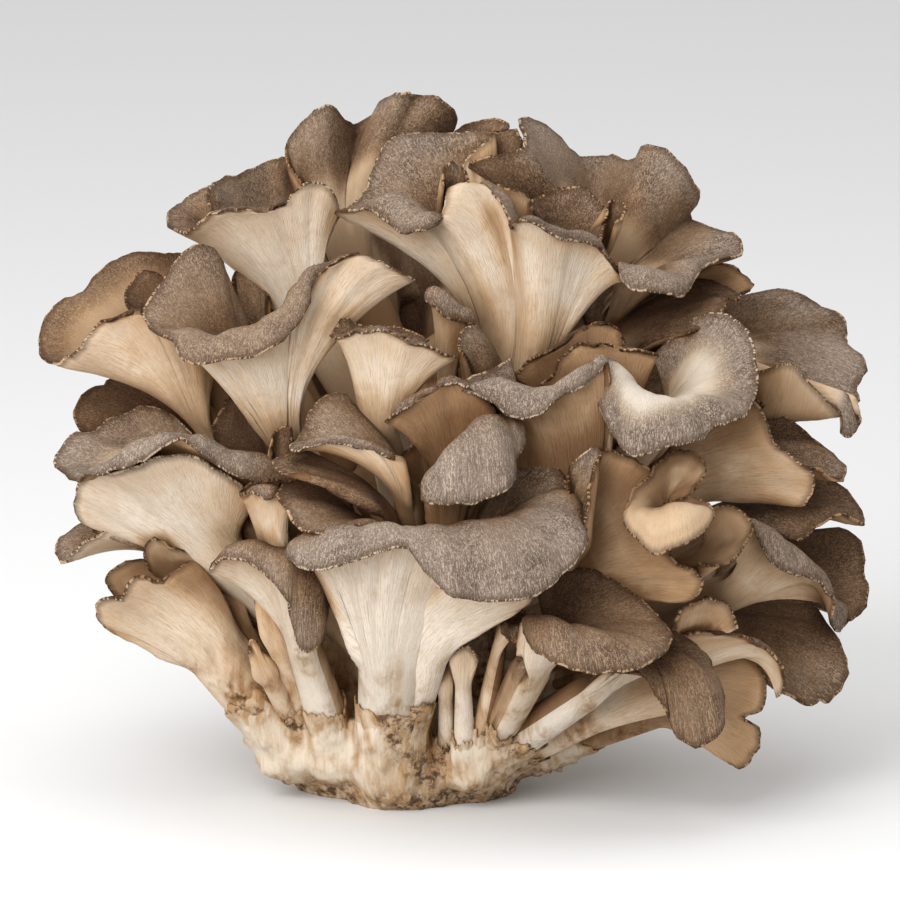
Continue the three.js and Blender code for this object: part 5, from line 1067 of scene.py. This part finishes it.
@dataclass
class CutBase:
    """The lumpy base, its flat cut and the sheaths it sends up round the stalks.

    A lump is x, y, z and a radius. A rod of the core has a start, an end and their two radii. Arms
    run to the stalks whose feet are within reach of the trunk, and sheaths stand on the low feet.
    """

    shelter: Shelter
    lumps: Sequence[Sequence[float]] = (
        (-20, -6, 11, 12.5), (-9, -13, 10, 14.5), (2, -10, 10, 12), (-32, -12, 19, 7.5),
        (13, -10, 14, 5.5), (-25, 6, 16, 12), (-10, 12, 16, 14), (3, 8, 14, 12), (-10, 0, 14, 19),
        (-9, -2, 26, 17))
    core: Sequence[tuple[Sequence[float], Sequence[float], float, float]] = (
        ((-9, 0, 22), (-6, 0, 46), 15, 11), ((-6, 0, 46), (-2, -2, 78), 11, 7))
    reach: float = 45.0
    low: float = 21.0
    voxel: float = 0.9
    smoothing: int = 4

    def build(self, branches: Iterable[Branch]) -> bpy.types.Object:
        """Makes the base's piece in place of its plain solid.

        Args:
            branches: Every branch, whose stalks the base runs up to.

        Returns:
            The piece, which stands for the base's node and rides on the root.
        """
        rough = bmesh.new()
        for x, y, z, radius in self.lumps:
            self._ball(rough, (x, y, z), radius)
        for rod in self.core:
            self._rod(rough, *rod)
        sheaths = []
        for spec in branches:
            for one in spec.blades:
                if math.hypot(one.foot[0] - TRUNK_X, one.foot[1]) < self.reach:
                    self._arm(rough, one)
                if one.foot[2] < self.low:
                    sheaths.append(Sheath(one, 1.9 * len(sheaths), top=spec.sheath_top))
        for sheath in sheaths:
            self._rod(rough, *sheath.rod(), round_end=False)
        piece = add_piece("cut_base_flesh", rough)
        self._grow_together(piece)
        self._shape(piece, sheaths)
        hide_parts("cut_base")
        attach(piece, "root")
        return piece

    def _ball(self, rough: bmesh.types.BMesh, centre: Sequence[float], radius: float) -> None:
        """Adds one lump."""
        made = bmesh.ops.create_icosphere(rough, subdivisions=3, radius=radius * HEAD.scale)
        bmesh.ops.translate(rough, verts=made["verts"], vec=HEAD.place_point(centre))

    def _rod(self, rough: bmesh.types.BMesh, start: Sequence[float], end: Sequence[float],
             start_radius: float, end_radius: float, round_end: bool = True) -> None:
        """Adds a tapering rod with a round start, and a round end if it is wanted."""
        a, b = HEAD.place_point(start), HEAD.place_point(end)
        turn = (b - a).to_track_quat("Z", "Y").to_matrix().to_4x4()
        bmesh.ops.create_cone(
            rough, cap_ends=True, segments=20, radius1=start_radius * HEAD.scale,
            radius2=end_radius * HEAD.scale, depth=(b - a).length,
            matrix=Matrix.Translation((a + b) / 2) @ turn)
        self._ball(rough, start, start_radius)
        if round_end:
            self._ball(rough, end, end_radius)

    def _arm(self, rough: bmesh.types.BMesh, one: Blade) -> None:
        """Adds the arm that carries a stalk."""
        x, y, z = one.foot
        drop = min(0.7 * math.hypot(x - TRUNK_X, y), z - 8)
        wide = one.widths[0]
        start = (TRUNK_X + (x - TRUNK_X) * 0.15, y * 0.15, z - drop)
        self._rod(rough, start, one.foot, wide + 2, wide + 0.8)

    def _grow_together(self, piece: bpy.types.Object) -> None:
        """Joins the lumps and rods in one smooth skin."""
        remesh = piece.modifiers.new("grow", "REMESH")
        remesh.mode = "VOXEL"
        remesh.voxel_size = self.voxel * HEAD.scale
        depsgraph = bpy.context.evaluated_depsgraph_get()
        whole = bmesh.new()
        whole.from_object(piece, depsgraph)
        piece.modifiers.clear()
        for _ in range(self.smoothing):
            bmesh.ops.smooth_vert(whole, verts=whole.verts, factor=0.5, use_axis_x=True,
                                  use_axis_y=True, use_axis_z=True)
        whole.to_mesh(piece.data)
        whole.free()

    def _shape(self, piece: bpy.types.Object, sheaths: Iterable[Sheath]) -> None:
        """Gives the base its folds, its flat cut, its torn sheaths and its openness, which sets its painted
        shade.

        Args:
            piece: The base's piece, whose mesh is replaced.
            sheaths: The sleeves round the feet of the stalks.
        """
        skin = bmesh.new()
        skin.from_mesh(piece.data)
        skin.normal_update()
        size = HEAD.scale
        for vert in skin.verts:
            p = vert.co / size
            low = max(0.0, min(1.0, (46 - p.z) / 20))
            fold = noise.noise(p / 9.0) * 1.3 + noise.noise(p / 4.2) * 0.6
            torn = max(0.0, noise.noise(Vector((p.x / 1.3, p.y / 1.3, p.z / 7)))) ** 2 * 1.9
            fine = noise.noise(p / 1.1) * 0.14 + noise.noise(p / 2.3) * 0.2
            vert.co += vert.normal * (fold + torn + fine) * low * size
        cut = bmesh.ops.bisect_plane(skin, geom=skin.verts[:] + skin.edges[:] + skin.faces[:],
                                     plane_co=(0, 0, 0), plane_no=(0, 0, -1), clear_outer=True)
        rim = [e for e in cut["geom_cut"] if isinstance(e, bmesh.types.BMEdge)]
        bmesh.ops.holes_fill(skin, edges=rim, sides=0)
        bmesh.ops.triangulate(skin, faces=[f for f in skin.faces if len(f.verts) > 4])
        skin.verts.layers.float.new("rim")
        for sheath in sheaths:
            sheath.add_to(skin)
        bmesh.ops.recalc_face_normals(skin, faces=skin.faces)
        for face in skin.faces:
            face.smooth = abs(face.normal.z) < 0.99 or face.calc_center_median().z > 1e-4
        skin.normal_update()
        # Openness of the base, which sets its painted shade.
        air = skin.verts.layers.float.new("air")
        places = np.array([vert.co + vert.normal * (1.5 * size) for vert in skin.verts])
        seen = self.shelter.openness(places, np.array([vert.normal for vert in skin.verts]))
        for vert, value in zip(skin.verts, seen):
            vert[air] = value
        skin.to_mesh(piece.data)
        skin.free()


Colour = tuple[float, float, float, float]
# Painted shade: a warm tint where the head shelters a skin, and a dark brown deep between the fronds.
WARM_SHADE: Colour = (0.90, 0.73, 0.54, 1)
DEEP_PAINTED_SHADE: Colour = (0.36, 0.27, 0.20, 1)


class Nodes:
    """Builds a material's node tree with few words."""

    def __init__(self, name: str) -> None:
        """Starts a material with a plain surface shader."""
        self.material = bpy.data.materials.new(name)
        self.material.use_nodes = True
        self.tree = self.material.node_tree
        self.surface = self.tree.nodes["Principled BSDF"]

    def add(self, kind: str, settings: dict[str, object] | None = None, **inputs: object) -> bpy.types.Node:
        """Adds a node.

        Args:
            kind: The node's type, without "ShaderNode".
            settings: Properties of the node.
            **inputs: A value or a link for each named input, with _ for a space.

        Returns:
            The new node.
        """
        node = self.tree.nodes.new(f"ShaderNode{kind}")
        for key, value in (settings or {}).items():
            setattr(node, key, value)
        for key, value in inputs.items():
            self.feed(node.inputs[key.replace("_", " ")], value)
        return node

    def feed(self, socket: bpy.types.NodeSocket, value: object) -> None:
        """Links a socket, or sets its value."""
        if isinstance(value, bpy.types.NodeSocket):
            self.tree.links.new(value, socket)
        else:
            socket.default_value = value

    def sum(self, operation: str, a: object, b: object = 0.0, c: object = 0.0) -> bpy.types.NodeSocket:
        """Does one sum on numbers."""
        node = self.add("Math", {"operation": operation})
        for socket, value in zip(node.inputs, (a, b, c)):
            self.feed(socket, value)
        return node.outputs[0]

    def ramp(self, value: object, low: float, high: float, most: float = 1.0,
             least: float = 0.0) -> bpy.types.NodeSocket:
        """Runs smoothly from the least to the most as a value goes from low to high.

        Args:
            value: The value. Low may be above high, and then the ramp falls as the value grows.
            low: Value at which the ramp is at its least.
            high: Value at which the ramp is at its most.
            most: The ramp's other end.
            least: The ramp's start.

        Returns:
            The ramp's number.
        """
        node = self.add("MapRange", {"interpolation_type": "SMOOTHSTEP", "clamp": True})
        for socket, number in zip(node.inputs, (value, low, high, least, most)):
            self.feed(socket, number)
        return node.outputs[0]

    def mix(self, share: object, first: object, second: object, blend: str = "MIX") -> bpy.types.NodeSocket:
        """Mixes two colours."""
        node = self.add("Mix", {"data_type": "RGBA", "blend_type": blend})
        for index, value in ((0, share), (6, first), (7, second)):
            self.feed(node.inputs[index], value)
        return node.outputs[2]

    def noise(self, place: bpy.types.NodeSocket, scale: float, detail: float = 3.0,
              rough: float = 0.55, curl: float = 0.0) -> bpy.types.NodeSocket:
        """Cloudy noise at a place, which may curl."""
        node = self.add("TexNoise", None, Vector=place, Scale=scale, Detail=detail, Roughness=rough,
                        Distortion=curl)
        return node.outputs[0]

    def paint_shade(self, skin: bpy.types.NodeSocket) -> bpy.types.NodeSocket:
        """Paints shade: warms a colour where the head shelters it from the light, and darkens it brown deep
        between the fronds.
        """
        air = self.add("Attribute", {"attribute_name": "air"}).outputs["Fac"]
        skin = self.mix(self.ramp(air, 1.0, 0.6), skin, WARM_SHADE, "MULTIPLY")
        return self.mix(self.ramp(air, 0.85, 0.2), skin, DEEP_PAINTED_SHADE, "MULTIPLY")

    def place(self, vector: bpy.types.NodeSocket, scale: Sequence[float]) -> bpy.types.NodeSocket:
        """Stretches a pattern's place."""
        node = self.add("Mapping", None, Vector=vector, Scale=tuple(scale))
        return node.outputs[0]

    def coat(self, skin: bpy.types.NodeSocket, roughness: float, height: bpy.types.NodeSocket,
             strength: float, depth: float) -> bpy.types.Material:
        """Puts a stained skin, painted with shade where the head shelters it, with a fine relief on the
        surface.

        Args:
            skin: The skin's own colour.
            roughness: How matt the skin is.
            height: The relief's height.
            strength: How strongly the relief shows.
            depth: The relief's depth in metres.

        Returns:
            The finished material.
        """
        # Stains the skin, then paints shade by its openness.
        self.feed(self.surface.inputs["Base Color"], self.paint_shade(RootStain().over(self, skin)))
        self.surface.inputs["Roughness"].default_value = roughness
        self.surface.inputs["Specular IOR Level"].default_value = 0.2
        bump = self.add("Bump", None, Strength=strength, Distance=depth, Height=height)
        self.feed(self.surface.inputs["Normal"], bump.outputs[0])
        return self.material


@dataclass(frozen=True)
class RootStain:
    """Ochre and brown soil stains on the base and on the feet of the stalks.

    There is none above the height, which is in metres.
    """

    ochre: Colour = (0.33, 0.20, 0.095, 1)
    brown: Colour = (0.085, 0.046, 0.024, 1)
    height: float = 0.046

    def over(self, make: Nodes, skin: bpy.types.NodeSocket) -> bpy.types.NodeSocket:
        """Stains a colour, most of all low down and along torn edges.

        Args:
            make: The material's nodes.
            skin: The colour to stain.

        Returns:
            The stained colour.
        """
        solid = make.add("TexCoord").outputs["Object"]
        rim = make.add("Attribute", {"attribute_name": "rim"}).outputs["Fac"]
        height = make.add("SeparateXYZ", None, Vector=solid).outputs[2]
        tone = make.add("Attribute", {"attribute_name": "tone"}).outputs["Vector"]
        reach = make.add("SeparateXYZ", None, Vector=tone).outputs[1]
        low = make.sum("MULTIPLY", make.ramp(height, self.height, self.height * 0.45),
                       make.ramp(reach, 0.4, 0.05))
        cloud = make.noise(make.place(solid, (1, 1, 0.6)), 105.0, 5.0, 0.58, 0.6)
        strand = make.noise(make.place(solid, (1, 1, 0.16)), 640.0, 3.0, 0.6, 0.6)
        grain = make.noise(solid, 520.0, 4.0, 0.7)
        foot = make.ramp(height, 0.007, 0.001, 0.16)
        dirt = make.sum("ADD", make.sum("MULTIPLY_ADD", rim, 0.17, cloud), foot)
        wash = make.sum("MULTIPLY", make.ramp(dirt, 0.39, 0.6), low)
        skin = make.mix(make.sum("MULTIPLY", wash, make.ramp(strand, 0.3, 0.62, 1.0, 0.35)), skin,
                        self.ochre)
        speck = make.sum("MULTIPLY", make.ramp(dirt, 0.53, 0.68), make.ramp(grain, 0.44, 0.60))
        return make.mix(make.sum("MULTIPLY", speck, low), skin, self.brown)


@dataclass(frozen=True)
class FrondFlesh:
    """Finish of the fronds: felted brown above, cream and finely streaked below."""

    felt_dark: Colour = (0.090, 0.060, 0.042, 1)
    felt_mid: Colour = (0.185, 0.135, 0.100, 1)
    felt_pale: Colour = (0.44, 0.355, 0.285, 1)
    felt_inner: Colour = (0.62, 0.50, 0.40, 1)
    throat_tan: Colour = (0.33, 0.235, 0.15, 1)
    throat_cream: Colour = (0.53, 0.44, 0.345, 1)
    under_cream: Colour = (0.655, 0.58, 0.49, 1)
    under_tan: Colour = (0.40, 0.275, 0.165, 1)
    stem_cream: Colour = (0.74, 0.67, 0.58, 1)
    margin_cream: Colour = (0.47, 0.36, 0.25, 1)
    margin_brown: Colour = (0.075, 0.042, 0.024, 1)
    roughness: float = 0.85

    def material(self) -> bpy.types.Material:
        """Makes the material, which follows the span and tone of each frond and paints shade by its
        openness.
        """
        make = Nodes("frond_flesh")
        span = make.add("Attribute", {"attribute_name": "span"}).outputs["Vector"]
        tone = make.add("Attribute", {"attribute_name": "tone"}).outputs["Vector"]
        parts = make.add("SeparateXYZ", None, Vector=span)
        tones = make.add("SeparateXYZ", None, Vector=tone)
        side, pale, reach, inside = parts.outputs[2], tones.outputs[0], tones.outputs[1], tones.outputs[2]
        solid = make.add("TexCoord").outputs["Object"]
        cloud = make.noise(solid, 85.0, 4.0)
        wool = make.noise(solid, 1900.0, 2.0, 0.55, 1.8)
        hair = make.noise(make.place(span, (3.6, 1.2, 3.0)), 1.0, 2.0, 0.5, 1.9)
        hair = make.sum("MULTIPLY_ADD", make.sum("SUBTRACT", wool, 0.5), 0.7, hair)
        fibre = make.noise(make.place(span, (2.4, 0.2, 3.0)), 1.0, 3.0, 0.6, 0.3)
        fleck = make.noise(make.place(span, (4.6, 0.65, 3.0)), 1.0, 2.0, 0.6, 0.6)
        above = self._felt(make, hair, cloud, pale, inside)
        below = self._underside(make, fibre, fleck, solid, reach, inside)
        upper = make.ramp(side, 0.45, 0.62)
        upper = make.sum("MULTIPLY", upper, make.ramp(reach, -0.1, 0.3))
        skin = make.mix(upper, below, above)
        skin = self._margin(make, skin, span, inside)
        grain = make.sum("ADD", make.sum("MULTIPLY", fibre, 0.7), make.sum("MULTIPLY", fleck, 0.6))
        height = make.sum("ADD", make.sum("MULTIPLY", hair, upper), grain)
        return make.coat(skin, self.roughness, height, 0.65, 0.0004)

    def _felt(self, make: Nodes, hair: bpy.types.NodeSocket, cloud: bpy.types.NodeSocket,
              pale: bpy.types.NodeSocket, inside: bpy.types.NodeSocket) -> bpy.types.NodeSocket:
        """Colour of the upper side: brown felt with paler curly hairs, tan in the throat."""
        base = make.mix(make.ramp(cloud, 0.32, 0.6), self.felt_dark, self.felt_mid)
        base = make.mix(make.ramp(inside, 5.0, 0.5, 0.4), base, self.felt_dark)
        base = make.mix(make.ramp(hair, 0.42, 0.68, 0.75), base, self.felt_pale)
        base = make.mix(make.ramp(inside, 7.0, 20.0, 0.75), base, self.felt_inner, "MULTIPLY")
        depth = make.sum("SUBTRACT", inside, make.ramp(pale, 0.0, 1.0, -5.0, 26.0))
        share = make.sum("MULTIPLY", make.ramp(depth, 0.0, 6.0), make.ramp(pale, 0.0, 0.25))
        inner = make.mix(make.ramp(hair, 0.35, 0.72), self.throat_tan, self.throat_cream)
        inner = make.mix(make.ramp(depth, 2.0, 8.0, 0.85), inner, self.under_cream)
        lip = make.sum("MULTIPLY", make.ramp(inside, 4.6, 3.0, 0.75), make.ramp(pale, 0.7, 0.78))
        return make.mix(lip, make.mix(share, base, inner), self.throat_cream)

    def _underside(self, make: Nodes, fibre: bpy.types.NodeSocket, fleck: bpy.types.NodeSocket,
                   solid: bpy.types.NodeSocket, reach: bpy.types.NodeSocket,
                   inside: bpy.types.NodeSocket) -> bpy.types.NodeSocket:
        """Colour of the underside: cream with fine tan flecks, tan near the margin, pale down the stem."""
        broad = make.noise(solid, 60.0, 3.0)
        mottle = make.noise(solid, 260.0, 3.0, 0.6, 0.6)
        base = make.mix(make.ramp(fibre, 0.46, 0.7, 0.5), self.under_cream, self.under_tan)
        base = make.mix(make.ramp(fleck, 0.52, 0.66, 0.55), base, self.under_tan)
        base = make.mix(make.ramp(mottle, 0.5, 0.72, 0.3), base, self.under_tan)
        base = make.mix(make.ramp(broad, 0.45, 0.7, 0.35), base, self.under_tan)
        base = make.mix(make.ramp(inside, 17.0, 0.5, 0.6), base, self.under_tan)
        stem = make.mix(make.ramp(fleck, 0.52, 0.66, 0.3), self.stem_cream, self.under_tan)
        return make.mix(make.ramp(reach, 0.3, -0.5, 0.7), base, stem)

    def _margin(self, make: Nodes, skin: bpy.types.NodeSocket, span: bpy.types.NodeSocket,
                inside: bpy.types.NodeSocket) -> bpy.types.NodeSocket:
        """Lays the brown margin with its row of cream dots over the skin."""
        fleck = make.noise(make.place(span, (1.9, 1.2, 0.0)), 1.0, 2.0)
        dot = make.noise(make.place(span, (1.6, 0.9, 0.0)), 1.3, 1.0, 0.5, 0.5)
        stretch = make.noise(make.place(span, (0.2, 0.1, 0.0)), 1.0, 2.0)
        dot = make.sum("MULTIPLY_ADD", make.sum("SUBTRACT", stretch, 0.5), 0.8, dot)
        wander = make.sum("MULTIPLY_ADD", fleck, 0.7, inside)
        band = make.ramp(wander, 2.3, 0.8, 0.6)
        skin = make.mix(band, skin, self.margin_brown)
        colour = make.mix(make.ramp(dot, 0.48, 0.6), self.margin_brown, self.margin_cream)
        return make.mix(make.ramp(wander, 0.9, 0.6, 0.9), skin, colour)


@dataclass(frozen=True)
class BaseFlesh:
    """Finish of the base: the stalks' own cream flesh, with torn fibres and soil in its folds."""

    cream: Colour = (0.56, 0.475, 0.375, 1)
    tan: Colour = (0.42, 0.30, 0.18, 1)
    roughness: float = 0.85

    def material(self) -> bpy.types.Material:
        """Makes the material, which is stained most at the foot and along torn edges."""
        make = Nodes("base_flesh")
        solid = make.add("TexCoord").outputs["Object"]
        rim = make.add("Attribute", {"attribute_name": "rim"}).outputs["Fac"]
        strand = make.noise(make.place(solid, (1, 1, 0.16)), 760.0, 4.0, 0.6, 0.5)
        grain = make.noise(solid, 420.0, 5.0, 0.7)
        skin = make.mix(make.ramp(strand, 0.46, 0.7, 0.5), self.cream, self.tan)
        skin = make.mix(make.ramp(rim, 0.35, 1.0, 0.6), skin, self.tan)
        relief = make.sum("ADD", make.sum("MULTIPLY", grain, 0.35), make.sum("MULTIPLY", strand, 0.8))
        return make.coat(skin, self.roughness, relief, 0.6, 0.0006)


@dataclass
class Studio:
    """A plain pale floor, soft lights and the camera."""

    distance: float = 2000.0
    field_width: float = 180.0
    look_height: float = 72.0
    floor_size: float = 6.0
    floor_grey: float = 0.68
    daylight: float = 0.8

    def build(self) -> None:
        """Sets up the whole studio."""
        self._floor()
        self._light("key", (-420, -740, 340), 0.7, 9.0)
        self._light("top", (-60, -160, 820), 0.8, 3.0)
        self._world()
        self._camera()

    def _floor(self) -> None:
        """Lays the floor just under the cut face."""
        shell = bmesh.new()
        bmesh.ops.create_grid(shell, x_segments=1, y_segments=1, size=self.floor_size / 2)
        floor = add_piece("studio_floor", shell)
        make = Nodes("pale_floor")
        make.surface.inputs["Base Color"].default_value = (*[self.floor_grey] * 3, 1)
        make.surface.inputs["Roughness"].default_value = 0.9
        floor.data.materials.append(make.material)

    def _light(self, name: str, place: Sequence[float], size: float, power: float) -> None:
        """Hangs one soft light that looks at the middle of the head."""
        lamp = bpy.data.lights.new(name, "AREA")
        lamp.energy, lamp.size = power, size
        self._hang(bpy.data.objects.new(name, lamp), place)

    def _hang(self, thing: bpy.types.Object, place: Sequence[float]) -> None:
        """Puts a light or the camera in its place and aims it at the middle of the head."""
        thing.location = HEAD.place_point(place)
        aim = HEAD.place_point((0, 0, self.look_height)) - thing.location
        thing.rotation_euler = aim.to_track_quat("-Z", "Y").to_euler()
        bpy.context.scene.collection.objects.link(thing)

    def _world(self) -> None:
        """Surrounds the stage with near-white light."""
        world = bpy.data.worlds.new("studio_air")
        world.use_nodes = True
        air = world.node_tree.nodes["Background"]
        air.inputs[0].default_value = (1, 1, 1, 1)
        air.inputs[1].default_value = self.daylight
        bpy.context.scene.world = world
        bpy.context.scene.view_settings.view_transform = "Standard"

    def _camera(self) -> None:
        """Places the camera level with the drawn head, far off behind a long lens."""
        camera = bpy.data.cameras.new("camera")
        camera.lens = camera.sensor_width * self.distance / self.field_width
        camera.clip_end = 10
        holder = bpy.data.objects.new("camera", camera)
        self._hang(holder, (0, -self.distance, self.look_height))
        bpy.context.scene.camera = holder


def main() -> None:
    """Builds the head and its studio, and logs how many faces each piece has."""
    logging.basicConfig(level=logging.INFO, format="%(name)s: %(message)s")
    Studio().build()
    frond_flesh, base_flesh = FrondFlesh().material(), BaseFlesh().material()
    back = [spec for tier in BACK_TIERS for spec in tier.branches()]
    detail = 1.0
    branches = [FrondBranch(spec, 0.9 * number, detail * (0.6 if spec in back else 1.0))
                for number, spec in enumerate([*FRONT_BRANCHES, *back])]
    shelter = Shelter()
    shelter.learn(sheet for one in branches for sheet in one.sheets)
    for one in branches:
        for sheet in one.sheets:
            shelter.look_out(sheet, one.spec.painted_shade)
        piece = one.build()
        piece.data.materials.append(frond_flesh)
        LOG.info("%s: %d faces", piece.name, len(piece.data.polygons))
    base = CutBase(shelter).build([*FRONT_BRANCHES, *back])
    base.data.materials.append(base_flesh)
    LOG.info("%s: %d faces", base.name, len(base.data.polygons))


if __name__ == "__main__":
    main()
